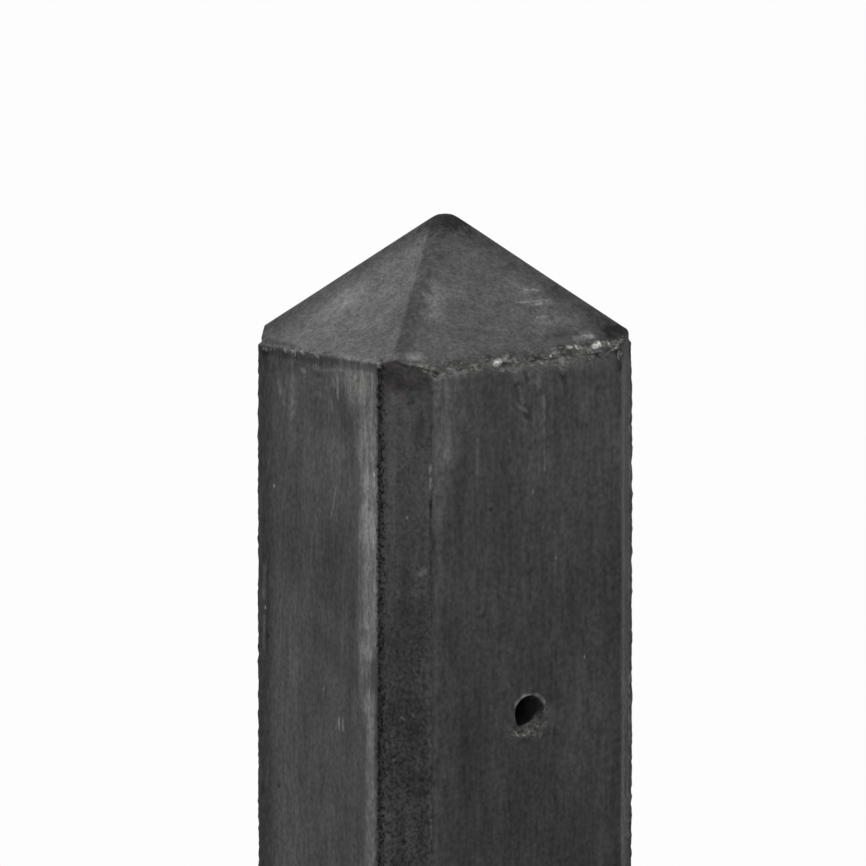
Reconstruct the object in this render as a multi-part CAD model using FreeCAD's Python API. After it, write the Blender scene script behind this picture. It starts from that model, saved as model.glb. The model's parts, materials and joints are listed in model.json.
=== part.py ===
"""Concrete fence post: a square precast shaft with chamfered arrises and a pointed head.

The origin is the centre of the foot, +Z runs up the post, and the hole goes through the front
and back faces, along Y. All sizes are in millimetres.
"""
import FreeCAD, Part
import os

# Shaft
post_width = 100.0  # across the flats, both ways
post_length = 1800.0  # foot to the blunt tip
arris_chamfer = 13.0  # leg of the chamfer on the four long arrises
mould_lip = 1.2  # step down from each side face to its chamfers, left by the mould joint

# Head
head_rise = 46.0  # from the shoulder to the point where the four slopes would meet
tip_blunting = 2.1  # how far below that point the tip stops
ridge_radius_low = 5.5  # rounding of the four ridges at the shoulder
ridge_radius_high = 2.4  # rounding of the same ridges at the tip
tip_edge_radius = 1.0  # rounding around the blunt tip

# Holes through the front and back faces
hole_diameter = 12.0
hole_offset = 1.2  # to the right of the front face's centre line
hole_drops = (117.5,)  # from the shoulder down to each hole's axis

# Chips out of the front shoulder edge, from left to right:
# the side it is measured from, distance in from there, radius of the scoop, depth of the bite
LEFT, RIGHT = -1, 1
front_chips = (
    (LEFT, 12.0, 7.0, 1.1),
    (RIGHT, 59.5, 6.0, 1.3),
    (RIGHT, 43.0, 11.0, 1.9),
    (RIGHT, 30.5, 6.5, 1.2),
    (RIGHT, 20.0, 8.0, 1.6),
    (RIGHT, 12.0, 9.0, 2.2),
)

half_width = post_width / 2
head_height = head_rise - tip_blunting
shoulder_height = post_length - head_height
UP = FreeCAD.Vector(0, 0, 1)
FRONT = FreeCAD.Vector(0, -1, 0)


def shaft_outline():
    """Cross-section of the shaft: a chamfered square whose two side faces stand a lip proud."""
    arris = half_width - arris_chamfer
    lip_foot = half_width - mould_lip
    corner = [(half_width, arris), (lip_foot, arris), (arris, half_width)]
    points = []
    for x_side, y_side in ((1, 1), (-1, 1), (-1, -1), (1, -1)):
        turned = [FreeCAD.Vector(x_side * x, y_side * y, 0) for x, y in corner]
        points += turned if x_side == y_side else turned[::-1]
    return Part.Face(Part.makePolygon(points + points[:1]))


def head_blank():
    """Four-sided head on a full square base, with rounded ridges and a rounded blunt tip."""
    tip_half = half_width * tip_blunting / head_rise
    head = Part.makeWedge(
        -half_width, 0, -half_width, -tip_half, -tip_half,
        half_width, head_height, half_width, tip_half, tip_half,
    )
    head.rotate(FreeCAD.Vector(), FreeCAD.Vector(1, 0, 0), 90)
    ridges = [edge for edge in head.Edges if edge.BoundBox.ZLength > head_height / 2]
    head = head.makeFillet(ridge_radius_low, ridge_radius_high, ridges)
    tip_level = head_height - tip_edge_radius / 2
    tip_rim = [edge for edge in head.Edges if min(vertex.Z for vertex in edge.Vertexes) > tip_level]
    head = head.makeFillet(tip_edge_radius, tip_rim)
    head.translate(UP * shoulder_height)
    return head


def hole(drop):
    """Round hole right through the post from front to back, this far below the shoulder."""
    start = FreeCAD.Vector(hole_offset, half_width, shoulder_height - drop)
    return Part.makeCylinder(hole_diameter / 2, post_width, start, FRONT)


def front_chip(side, distance_in, scoop_radius, bite):
    """Ball that takes a scoop out of the front shoulder edge, where slope and face meet."""
    edge_point = FreeCAD.Vector(side * (half_width - distance_in), -half_width, shoulder_height)
    slope_normal = FreeCAD.Vector(0, -head_rise, half_width).normalize()
    outward = (FRONT + slope_normal).normalize()
    return Part.makeSphere(scoop_radius, edge_point + outward * (scoop_radius - bite))


def fence_post():
    """The whole casting: the shaft's section carried up through the head, then holed and chipped."""
    square_shaft = Part.makeBox(post_width, post_width, shoulder_height)
    square_shaft.translate(FreeCAD.Vector(-half_width, -half_width, 0))
    envelope = square_shaft.fuse(head_blank())
    post = shaft_outline().extrude(UP * post_length).common(envelope)
    holes = [hole(drop) for drop in hole_drops]
    chips = [front_chip(*chip) for chip in front_chips]
    return post.cut(holes + chips).removeSplitter()


os.makedirs("parts", exist_ok=True)
post = fence_post()
print("post: valid", post.isValid(), "solids", len(post.Solids), "volume", round(post.Volume))
post.exportStep("parts/post.step")
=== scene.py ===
"""Looks of a dark cast-concrete fence post with a pointed head.

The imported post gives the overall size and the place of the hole. One closed mesh of the same form
replaces its plain solid: a graded grid that is finest at the shoulder, the mould lips and the hole.
A Geometry Nodes tree breaks and pits it, and one procedural concrete material dresses it.
"""
import json
import logging
import math
from dataclasses import dataclass, field
from enum import Enum
from typing import Any

import bpy
import numpy as np
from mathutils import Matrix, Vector


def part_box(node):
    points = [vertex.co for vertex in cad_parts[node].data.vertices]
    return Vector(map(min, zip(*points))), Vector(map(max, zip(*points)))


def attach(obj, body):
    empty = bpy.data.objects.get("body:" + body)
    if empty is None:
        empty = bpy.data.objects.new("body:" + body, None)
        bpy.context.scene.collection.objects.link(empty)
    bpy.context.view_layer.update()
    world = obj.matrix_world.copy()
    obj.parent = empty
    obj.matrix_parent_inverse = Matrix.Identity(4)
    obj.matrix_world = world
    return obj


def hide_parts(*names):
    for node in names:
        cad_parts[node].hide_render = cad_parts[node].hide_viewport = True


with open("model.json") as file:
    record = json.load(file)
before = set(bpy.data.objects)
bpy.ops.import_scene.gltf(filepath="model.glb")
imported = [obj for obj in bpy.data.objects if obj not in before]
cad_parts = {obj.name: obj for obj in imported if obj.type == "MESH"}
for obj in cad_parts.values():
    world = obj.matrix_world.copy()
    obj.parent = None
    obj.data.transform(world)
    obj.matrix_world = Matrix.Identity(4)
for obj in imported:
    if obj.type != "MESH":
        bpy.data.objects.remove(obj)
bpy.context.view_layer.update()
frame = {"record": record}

LOG = logging.getLogger("fence_post")
MM = 0.001
FULL_TURN = 2 * math.pi
TINY = 1e-9
NODE = "post"
UV_MAP = "OFBake"

Tree = bpy.types.NodeTree
Socket = bpy.types.NodeSocket
Point = tuple[float, float, float]
Span = tuple[float, float]

# Inputs of the mix node when it mixes colours, and the settings that make it do so
FACTOR = 0
UNDER = 6
OVER = 7
AS_COLOUR = {"data_type": "RGBA", "out": 2}

# How squarely a surface faces a side where marks kept to that side begin to show, and show in full
FACING = (0.75, 0.9)


def to_linear(colour: str) -> tuple[float, float, float, float]:
    """Turns an sRGB hex colour into the linear colour that shaders read.

    Args:
        colour: six hex digits after a hash sign.

    Returns:
        Red, green, blue and a full alpha.
    """
    channels = [int(colour[i:i + 2], 16) / 255 for i in (1, 3, 5)]
    linear = [c / 12.92 if c <= 0.04045 else ((c + 0.055) / 1.055) ** 2.4 for c in channels]
    return (*linear, 1.0)


def add(tree: Tree, kind: str, *feeds: Any, out: int | str = 0, **settings: Any) -> Socket | None:
    """Adds a node to a tree, with its settings and what feeds it.

    Args:
        tree: the shader or geometry tree.
        kind: the node's type name.
        feeds: a socket or a value for each input in order, None to leave one alone, or a dictionary
            from input name or number to socket or value.
        out: the output to hand back, by number or name.
        settings: properties of the node, set before its inputs.

    Returns:
        The chosen output socket, or None for a node that has none.
    """
    node = tree.nodes.new(kind)
    for name, value in settings.items():
        setattr(node, name, value)
    pairs = [pair for pair in enumerate(feeds) if not isinstance(pair[1], dict)]
    for feed in feeds:
        pairs += list(feed.items()) if isinstance(feed, dict) else []
    for key, value in pairs:
        if isinstance(value, Socket):
            tree.links.new(value, node.inputs[key])
        elif value is not None:
            node.inputs[key].default_value = value
    return node.outputs[out] if len(node.outputs) else None


def smoothstep(low: float, high: float, value: np.ndarray) -> np.ndarray:
    """Rises smoothly from 0 at low to 1 at high; low may be the larger of the two."""
    t = np.clip((value - low) / (high - low), 0, 1)
    return t * t * (3 - 2 * t)


def graded(length: float, fine: float, coarse: float, growth: float) -> np.ndarray:
    """Distances from 0 to a length whose steps grow from fine to coarse.

    Args:
        length: the whole distance.
        fine: the first step.
        coarse: the longest step.
        growth: how much longer each step is than the last.

    Returns:
        The distances, both ends included.
    """
    marks = [0.0]
    step = fine
    while marks[-1] < length:
        marks.append(marks[-1] + step)
        step = min(step * growth, coarse)
    return np.array(marks) * length / marks[-1]


def at_least(least: float, share: np.ndarray) -> np.ndarray:
    """Lifts shares that run from 0 to 1 so that they start from a least value."""
    return least + (1 - least) * share


def viewpoint(azimuth: float, elevation: float) -> Vector:
    """Direction from the post to a viewpoint, with the azimuth in degrees from the front."""
    turn, tilt = math.radians(azimuth), math.radians(elevation)
    return Vector((math.sin(turn) * math.cos(tilt), -math.cos(turn) * math.cos(tilt), math.sin(tilt)))


class Side(Enum):
    """The four sides of the post, by their outward direction in plan."""

    FRONT = (0, -1)
    RIGHT = (1, 0)
    BACK = (0, 1)
    LEFT = (-1, 0)


class Chart(Enum):
    """The parts of the surface that are unrolled apart from each other."""

    TOP = 0
    LOWER = 1
    BORE = 2
    FOOT = 3


class MarkKind(Enum):
    """What a mark does to the surface: wear, traces of the mould, stains, and painted light and shade."""

    SPALL = "spall"
    GOUGE = "gouge"
    BLEACH = "bleach"
    SHADE = "shade"
    TINT = "tint"
    SINK = "sink"


class Trace(Enum):
    """How a thin line or speck differs from the skin around it."""

    PALE = 0
    DARK = 1
    CRUMB = 2


@dataclass(frozen=True)
class Mark:
    """A marked place: a stroke from start to end, in millimetres from the centre of the shoulder.

    Its strength is full within core of its reach and fades to nothing at the whole of it. A side
    keeps it to the upright surfaces that face that way. Sinking is in millimetres, inward.
    A negative shade is paler than the skin around it, and a negative sinking stands proud.
    Some marks are wear and stains, and some are painted light and painted shade.
    """

    marking: MarkKind
    start: Point
    end: Point
    reach: float
    strength: float
    core: float = 0.3
    side: Side | None = None

    def strength_at(self, points: np.ndarray, normals: np.ndarray) -> np.ndarray:
        """Strength of the mark at each point.

        Args:
            points: places in millimetres from the centre of the shoulder.
            normals: the surface's direction at each place.

        Returns:
            One number per point.
        """
        start = np.array(self.start)
        run = np.array(self.end) - start
        along = np.clip((points - start) @ run / max(run @ run, TINY), 0, 1)
        away = np.linalg.norm(points - start - along[:, None] * run, axis=1) / self.reach
        strength = self.strength * smoothstep(1.0, self.core, away)
        if self.side:
            strength = strength * smoothstep(*FACING, normals[:, :2] @ np.array(self.side.value))
        return strength


@dataclass(frozen=True)
class Scratch:
    """A thin line or a speck on the skin, in millimetres from the centre of the shoulder."""

    trace: Trace
    start: Point
    end: Point
    width: float
    strength: float


@dataclass(frozen=True)
class Section:
    """Plan of the shaft: a square with chamfered corners whose two side faces stand a lip proud."""

    half: float
    chamfer: float = 13.0 * MM
    lip: float = 1.2 * MM
    arris_radius: float = 1.3 * MM
    lip_radius: float = 0.3 * MM
    chamfer_cells: int = 8
    arris_cells: int = 4
    lip_cells: int = 2
    end_crowding: float = 0.5

    def turned(self, points: np.ndarray, side: Side) -> np.ndarray:
        """Turns plan points drawn for the front so that they lie on another side."""
        out_x, out_y = side.value
        return points @ np.array([[-out_y, out_x], [-out_x, -out_y]])

    def run(self, corners: list[Span], radii: list[float], cells: list[int]) -> np.ndarray:
        """Points along a line with rounded corners, without its last point.

        Args:
            corners: plan points of the line with sharp corners.
            radii: rounding at each inner corner.
            cells: number of cells in each straight and, between them, each rounding.

        Returns:
            One plan point per cell.
        """
        sharp = [np.array(c, float) for c in corners]
        ends = [sharp[0]]
        for before, corner, after, radius in zip(sharp, sharp[1:], sharp[2:], radii):
            into = (corner - before) / np.linalg.norm(corner - before)
            away = (after - corner) / np.linalg.norm(after - corner)
            turn = math.acos(np.clip(into @ away, -1, 1))
            setback = radius * math.tan(turn / 2)
            ends += [corner - into * setback, corner, corner + away * setback]
        ends.append(sharp[-1])
        points = []
        for i, count in enumerate(cells):
            t = np.arange(count) / count
            if i % 2:
                first, corner, last = ends[3 * (i // 2) + 1:3 * (i // 2) + 4]
                points += [(1 - u) ** 2 * first + 2 * u * (1 - u) * corner + u * u * last for u in t]
            else:
                first, last = ends[3 * (i // 2)], ends[3 * (i // 2) + 1]
                crowd = self.end_crowding if count > self.chamfer_cells else 0
                t = (1 - crowd) * t + crowd * (0.5 - 0.5 * np.cos(math.pi * t))
                points += [first + (last - first) * u for u in t]
        return np.array(points)

    def outline(self, cells: dict[Side, int]) -> np.ndarray:
        """The whole outline, anticlockwise from above, starting at the ridge left of the front.

        Args:
            cells: how many cells each flat face has across it.

        Returns:
            One plan point per column of the grid.
        """
        arris = self.half - self.chamfer
        foot = self.half - self.lip
        share = (foot - arris) / (foot - arris + self.chamfer)
        ridge = foot - (foot - arris) * share
        points = []
        for side in Side:
            across = cells[side]
            if side in (Side.FRONT, Side.BACK):
                corners = [(-ridge, -ridge), (-arris, -self.half), (arris, -self.half), (ridge, -ridge)]
                radii = [self.arris_radius] * 2
                counts = [self.chamfer_cells, self.arris_cells, across,
                          self.arris_cells, self.chamfer_cells]
            else:
                corners = [(-ridge, -ridge), (-arris, -foot), (-arris, -self.half),
                           (arris, -self.half), (arris, -foot), (ridge, -ridge)]
                radii = [self.lip_radius] * 4
                edge = [self.lip_cells] * 3
                counts = [self.chamfer_cells, *edge, across, *edge, self.chamfer_cells]
            points.append(self.turned(self.run(corners, radii, counts), side))
        return np.concatenate(points)


@dataclass(frozen=True)
class Head:
    """Four slopes that meet in rounded ridges and a blunt tip, a little out of true.

    The eave of the right slope lies higher than the others, and the front's rises to meet it.
    """

    half: float
    rise: float = 46.0 * MM
    blunting: float = 2.1 * MM
    ridge_round_low: float = 1.0 * MM
    ridge_round_high: float = 0.45 * MM
    tip_round: float = 0.35 * MM
    right_lift: float = 1.9 * MM
    front_lean: float = 0.038

    def height(self, plan: np.ndarray) -> np.ndarray:
        """Height of the head's surface over the shoulder.

        Args:
            plan: points in plan.

        Returns:
            One height per point.
        """
        x, y = plan.T
        wide = np.abs(x) * np.where(x > 0, 1 - self.right_lift / self.rise, 1)
        deep = np.abs(y) * np.where(y < 0, 1 - self.front_lean * x / self.rise, 1)
        out = np.maximum(wide, deep) / self.half
        rounding = self.ridge_round_high + (self.ridge_round_low - self.ridge_round_high) * out
        far = (wide + deep) / 2 + np.hypot((wide - deep) / 2, rounding)
        slope = self.rise * (1 - far / self.half)
        top = self.rise - self.blunting
        return (slope + top) / 2 - np.hypot((slope - top) / 2, self.tip_round)


@dataclass(frozen=True)
class Hole:
    """The round hole from front to back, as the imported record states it."""

    x: float
    z: float
    radius: float


@dataclass
class Lattice:
    """Points and faces of a closed surface, laid down ring by ring."""

    points: list[Point] = field(default_factory=list)
    unrolled: list[Span] = field(default_factory=list)
    faces: list[tuple[int, ...]] = field(default_factory=list)
    charts: list[int] = field(default_factory=list)

    def ring(self, points: np.ndarray, unrolled: np.ndarray) -> np.ndarray:
        """Adds points.

        Args:
            points: places in space.
            unrolled: distance round the post and up its surface, for each place.

        Returns:
            The new points' numbers.
        """
        first = len(self.points)
        self.points += [tuple(p) for p in points]
        self.unrolled += [tuple(u) for u in unrolled]
        return np.arange(first, len(self.points))

    def face(self, corners: tuple[int, ...], chart: Chart) -> None:
        """Adds one face, its corners anticlockwise seen from outside."""
        self.faces.append(tuple(int(c) for c in corners))
        self.charts.append(chart.value)

    def join(self, low: np.ndarray, high: np.ndarray, chart: Chart,
             left_out: frozenset[int] = frozenset()) -> None:
        """Joins two closed rings of the same count, or one of which has half as many points.

        Args:
            low: the ring that comes first going up the surface.
            high: the ring that comes next.
            chart: the chart that the faces belong to.
            left_out: numbers of the cells that stay open.
        """
        count = min(len(low), len(high))
        for i in range(count):
            j = (i + 1) % count
            if i in left_out:
                continue
            if len(low) == len(high):
                self.face((low[i], low[j], high[j], high[i]), chart)
            elif len(low) > count:
                self.face((low[2 * i], low[2 * i + 1], low[2 * j], high[j], high[i]), chart)
            else:
                self.face((low[i], low[j], high[2 * j], high[2 * i + 1], high[2 * i]), chart)

    def close(self, ring: np.ndarray, centre: int, chart: Chart) -> None:
        """Closes a ring on its centre point."""
        for i in range(len(ring)):
            self.face((ring[i], ring[(i + 1) % len(ring)], centre), chart)

    def zip(self, near: np.ndarray, far: np.ndarray, near_turn: np.ndarray, far_turn: np.ndarray) -> None:
        """Joins two rings of a bore that have different counts, by the angles of their points.

        Args:
            near: the ring that comes first.
            far: the ring that comes next, going round the same way.
            near_turn: rising angles of the first ring's points.
            far_turn: rising angles of the second ring's points.
        """
        i = j = 0
        near_turn = np.append(near_turn, near_turn[0] + FULL_TURN)
        far_turn = np.append(far_turn, far_turn[0] + FULL_TURN)
        while i < len(near) or j < len(far):
            here, there = near[i % len(near)], far[j % len(far)]
            if j == len(far) or (i < len(near) and near_turn[i + 1] <= far_turn[j + 1]):
                self.face((here, near[(i + 1) % len(near)], there), Chart.BORE)
                i += 1
            else:
                self.face((here, far[(j + 1) % len(far)], there), Chart.BORE)
                j += 1


@dataclass
class WeatheringTree:
    """Geometry Nodes that break, pit and roughen the cast surface where its attributes say so.

    Each span is the stretch of noise or of wear over which a kind of damage grows to the full.
    """

    seed: int = 11
    waviness: float = 0.10 * MM
    waviness_size: float = 45.0 * MM
    spall_depth: float = 0.5 * MM
    spall_grain: float = 2.6 * MM
    gouge_depth: float = 0.9 * MM
    seam_depth: float = 0.6 * MM
    seam_grain: float = 2.2 * MM
    flash_height: float = 0.9 * MM
    flash_grain: float = 2.4 * MM
    lip_burr: float = 0.3 * MM
    lip_grain: float = 2.6 * MM
    pit_density: float = 500.0
    pit_radius: float = 1.1 * MM
    pit_depth: float = 0.7 * MM
    wave_span: Span = (0.25, 0.75)
    fringe_span: Span = (0.0, 0.15)
    break_span: Span = (0.40, 0.58)
    break_raggedness: float = 0.5
    uneven_span: Span = (0.3, 0.7)
    uneven_depth: Span = (0.15, 1.7)
    nick_span: Span = (0.42, 0.62)
    crumb_span: Span = (0.38, 0.66)
    burr_span: Span = (0.3, 0.7)
    normal_smoothing: int = 6
    inputs: dict[str, str] = field(default_factory=dict)

    def build(self) -> Tree:
        """Makes the tree, with a named input for each size.

        Returns:
            The node tree.
        """
        tree = bpy.data.node_groups.new("concrete_weathering", "GeometryNodeTree")
        tree.interface.new_socket("Geometry", in_out="INPUT", socket_type="NodeSocketGeometry")
        tree.interface.new_socket("Geometry", in_out="OUTPUT", socket_type="NodeSocketGeometry")
        sizes = ("waviness", "waviness_size", "spall_depth", "spall_grain", "gouge_depth",
                 "seam_depth", "seam_grain", "flash_height", "flash_grain", "lip_burr", "lip_grain",
                 "pit_density", "pit_radius", "pit_depth")
        for name in sizes:
            self.expose(tree, name, "NodeSocketFloat")
        self.expose(tree, "seed", "NodeSocketInt")
        self.expose(tree, "concrete", "NodeSocketMaterial")
        given = tree.nodes.new("NodeGroupInput").outputs
        sockets = {name: given[self.label(name)] for name in self.inputs}
        moved = self.displace(tree, given["Geometry"], sockets)
        whole = add(tree, "GeometryNodeRealizeInstances", moved)
        dressed = add(tree, "GeometryNodeSetMaterial", {"Geometry": whole, "Material": sockets["concrete"]})
        add(tree, "NodeGroupOutput", dressed)
        return tree

    def label(self, name: str) -> str:
        """What the input for a size is called in the tree."""
        return name.replace("_", " ").capitalize()

    def expose(self, tree: Tree, name: str, kind: str) -> None:
        """Gives the tree a named input and keeps its identifier."""
        socket = tree.interface.new_socket(self.label(name), in_out="INPUT", socket_type=kind)
        self.inputs[name] = socket.identifier

    def grain(self, tree: Tree, sockets: dict[str, Socket], size: str,
              detail: float, shift: float) -> Socket:
        """Noise of a named size, from 0 to 1 and half on average.

        Args:
            tree: the tree to add to.
            sockets: the tree's inputs by name.
            size: name of the input that holds the grain's size.
            detail: how many finer octaves it has.
            shift: moves it away from other noise of the same size.

        Returns:
            The noise socket.
        """
        scale = add(tree, "ShaderNodeMath", 1.0, sockets[size], operation="DIVIDE")
        place = add(tree, "ShaderNodeMath", sockets["seed"], shift, operation="ADD")
        where = add(tree, "GeometryNodeInputPosition")
        settings = {"Vector": where, "W": place, "Scale": scale, "Detail": detail}
        return add(tree, "ShaderNodeTexNoise", settings, noise_dimensions="4D")

    def broken_edge(self, tree: Tree, spall: Socket, sockets: dict[str, Socket]) -> Socket:
        """How far each place is broken open, with a ragged line round each break.

        Args:
            tree: the tree to add to.
            spall: the socket that says where the skin may come away.
            sockets: the tree's inputs by name.

        Returns:
            A socket that passes through the break's span where the skin ends.
        """
        lumps = self.grain(tree, sockets, "spall_grain", detail=2.5, shift=3.0)
        ragged = add(tree, "ShaderNodeMapRange", lumps, 0.0, 1.0,
                     -self.break_raggedness, self.break_raggedness, clamp=False)
        near_break = add(tree, "ShaderNodeMapRange", spall, *self.fringe_span, 0.0, 1.0)
        ragged = add(tree, "ShaderNodeMath", ragged, near_break, operation="MULTIPLY")
        return add(tree, "ShaderNodeMath", spall, ragged, operation="ADD")

    def pits(self, tree: Tree, solid: Socket, sockets: dict[str, Socket]) -> Socket:
        """Where air bubbles left small round pits.

        Args:
            tree: the tree to add to.
            solid: the socket of the plain cast form.
            sockets: the tree's inputs by name.

        Returns:
            A socket that is 1 in the middle of a pit and 0 from its rim outward.
        """
        bubbles = add(tree, "GeometryNodeDistributePointsOnFaces",
                      {"Mesh": solid, "Density": sockets["pit_density"], "Seed": sockets["seed"]})
        near = add(tree, "GeometryNodeProximity", {"Geometry": bubbles},
                   target_element="POINTS", out="Distance")
        return add(tree, "ShaderNodeMapRange", near, 0.0, sockets["pit_radius"], 1.0, 0.0,
                   interpolation_type="SMOOTHSTEP")

    def displace(self, tree: Tree, solid: Socket, sockets: dict[str, Socket]) -> Socket:
        """Moves the surface and stores where it is broken open or hollowed.

        Args:
            tree: the tree to add to.
            solid: the socket of the plain cast form.
            sockets: the tree's inputs by name.

        Returns:
            The socket of the weathered form.
        """
        marked = {name: add(tree, "GeometryNodeInputNamedAttribute", name, data_type="FLOAT")
                for name in ("spall", "gouge", "seam", "flash", "lip", "skin", "sink")}
        normal = add(tree, "GeometryNodeInputNormal")
        smoothing = {"Value": normal, "Iterations": self.normal_smoothing}
        smoothed = add(tree, "GeometryNodeBlurAttribute", smoothing, data_type="FLOAT_VECTOR")
        direction = add(tree, "ShaderNodeVectorMath", smoothed, operation="NORMALIZE")

        edge = self.broken_edge(tree, marked["spall"], sockets)
        exposed = add(tree, "ShaderNodeMapRange", edge, *self.break_span, 0.0, 1.0,
                      interpolation_type="SMOOTHSTEP")
        pit = self.pits(tree, solid, sockets)
        wave = self.grain(tree, sockets, "waviness_size", detail=1.0, shift=0.0)
        wave = add(tree, "ShaderNodeMapRange", wave, *self.wave_span, -1.0, 1.0)
        uneven = self.grain(tree, sockets, "spall_grain", detail=3.0, shift=7.0)
        uneven = add(tree, "ShaderNodeMapRange", uneven, *self.uneven_span, *self.uneven_depth)
        nicks = self.grain(tree, sockets, "seam_grain", detail=1.0, shift=13.0)
        nicks = add(tree, "ShaderNodeMapRange", nicks, *self.nick_span, 0.0, 1.0)
        crumbs = self.grain(tree, sockets, "flash_grain", detail=2.0, shift=19.0)
        crumbs = add(tree, "ShaderNodeMapRange", crumbs, *self.crumb_span, 0.0, 1.0)
        burr = self.grain(tree, sockets, "lip_grain", detail=2.0, shift=23.0)
        burr = add(tree, "ShaderNodeMapRange", burr, *self.burr_span, -1.0, 1.0)

        height = add(tree, "ShaderNodeMath", wave, sockets["waviness"], operation="MULTIPLY")
        height = add(tree, "ShaderNodeMath", height, marked["sink"], operation="SUBTRACT")
        layers = ((exposed, uneven, "spall_depth", "SUBTRACT"),
                  (marked["gouge"], uneven, "gouge_depth", "SUBTRACT"),
                  (nicks, marked["seam"], "seam_depth", "SUBTRACT"),
                  (crumbs, marked["flash"], "flash_height", "ADD"),
                  (burr, marked["lip"], "lip_burr", "ADD"),
                  (pit, 1.0, "pit_depth", "SUBTRACT"))
        for pattern, share, depth, change in layers:
            part = add(tree, "ShaderNodeMath", pattern, share, operation="MULTIPLY")
            part = add(tree, "ShaderNodeMath", part, sockets[depth], operation="MULTIPLY")
            height = add(tree, "ShaderNodeMath", height, part, operation=change)
        height = add(tree, "ShaderNodeMath", height, marked["skin"], operation="MULTIPLY")
        offset = add(tree, "ShaderNodeVectorMath", {0: direction, "Scale": height}, operation="SCALE")
        stored = solid
        for name, value in (("broken", edge), ("hollow", pit)):
            stored = add(tree, "GeometryNodeStoreNamedAttribute",
                         {"Geometry": stored, "Name": name, "Value": value}, data_type="FLOAT")
        return add(tree, "GeometryNodeSetPosition", {"Geometry": stored, "Offset": offset})

    def apply(self, post: bpy.types.Object, material: bpy.types.Material) -> None:
        """Weathers a mesh for good, leaving no modifier on it.

        Args:
            post: the object to weather.
            material: what its surface wears.
        """
        modifier = post.modifiers.new("weathering", "NODES")
        modifier.node_group = self.build()
        for name, identifier in self.inputs.items():
            modifier[identifier] = material if name == "concrete" else getattr(self, name)
        depsgraph = bpy.context.evaluated_depsgraph_get()
        evaluated = post.evaluated_get(depsgraph)
        mesh = bpy.data.meshes.new_from_object(
            evaluated, preserve_all_data_layers=True, depsgraph=depsgraph)
        plain = post.data
        post.modifiers.clear()
        post.data = mesh
        bpy.data.meshes.remove(plain)
        mesh.name = post.name


@dataclass(frozen=True)
class MouldTraces:
    """What the mould and the weather leave all along the post, and a darker band along the near ridge.

    Places are in millimetres from the centre of the shoulder. Each span runs from where a trace
    begins to where it is full, and a least is what is left of it elsewhere.
    """

    section: Section
    shaft_span: Span = (6.0, 1.0)
    seam_span: Span = (1.5, 0.4)
    seam_root: float = 0.9
    seam_inset: float = 0.6
    lip_span: Span = (1.2, 0.4)
    eave_level: float = 0.1
    flash_span: Span = (1.1, 0.2)
    sideways_span: Span = (0.1, 0.5)
    flash_run: Span = (0.0, -16.0)
    flash_least: float = 0.2
    slope_span: Span = (-0.5, 1.0)
    chamfer_span: Span = (0.4, 0.6)
    sand_run: Span = (-70.0, -130.0)
    sand_least: float = 0.45
    near_span: Span = (10.0, -10.0)
    joint_least: float = 0.06
    ridge_strength: float = 0.72
    ridge_edge: Span = (-6.2, -4.8)
    ridge_middle: float = -2.0
    ridge_width: float = 3.5
    ridge_widening: float = 0.2
    ridge_run: Span = (1.0, 5.0)

    def fields(self, local: np.ndarray, normals: np.ndarray) -> dict[str, np.ndarray]:
        """Strength of each trace.

        Args:
            local: places on the surface.
            normals: the surface's direction at each place.

        Returns:
            One number per place, by the name of the trace.
        """
        height = local[:, 2]
        wide, deep = np.abs(local[:, 0]), np.abs(local[:, 1])
        half, lip = self.section.half / MM, self.section.lip / MM
        arris = half - self.section.chamfer / MM
        from_root = np.hypot(wide - (half - lip * self.seam_root), deep - (arris + self.seam_inset))
        from_lip = np.hypot(wide - half, deep - arris)
        on_shaft = smoothstep(*self.shaft_span, height)
        facing_x, facing_y = np.abs(normals[:, 0]), np.abs(normals[:, 1])
        at_eave = smoothstep(*self.flash_span, np.abs(height - self.eave_level))
        sideways = smoothstep(*self.sideways_span, facing_x - facing_y)
        towards_front = at_least(self.flash_least, smoothstep(*self.flash_run, local[:, 1]))
        on_chamfer = smoothstep(*self.chamfer_span, np.minimum(facing_x, facing_y))
        downwards = at_least(self.sand_least, smoothstep(*self.sand_run, height))
        return {
            "seam": smoothstep(*self.seam_span, from_root) * on_shaft,
            "flash": at_eave * sideways * towards_front,
            "slope": smoothstep(*self.slope_span, height),
            "sand": on_chamfer * downwards,
            "lip": smoothstep(*self.lip_span, from_lip) * on_shaft,
            "joint": at_least(self.joint_least, self.near_left(local)),
        }

    def near_left(self, local: np.ndarray) -> np.ndarray:
        """1 in the quarter of the post round its near left corner, 0 in the others."""
        return smoothstep(*self.near_span, local[:, 0]) * smoothstep(*self.near_span, local[:, 1])

    def ridge_band(self, local: np.ndarray) -> np.ndarray:
        """Strength of the darker band along the near ridge of the head, which is wider higher up.

        Args:
            local: places on the surface.

        Returns:
            One number per place.
        """
        across = np.abs(local[:, 1]) - np.abs(local[:, 0])
        far_edge = self.ridge_width + self.ridge_widening * local[:, 2]
        band = smoothstep(*self.ridge_edge, across) * smoothstep(far_edge, self.ridge_middle, across)
        return self.ridge_strength * self.near_left(local) * band * smoothstep(*self.ridge_run, local[:, 2])


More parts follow.
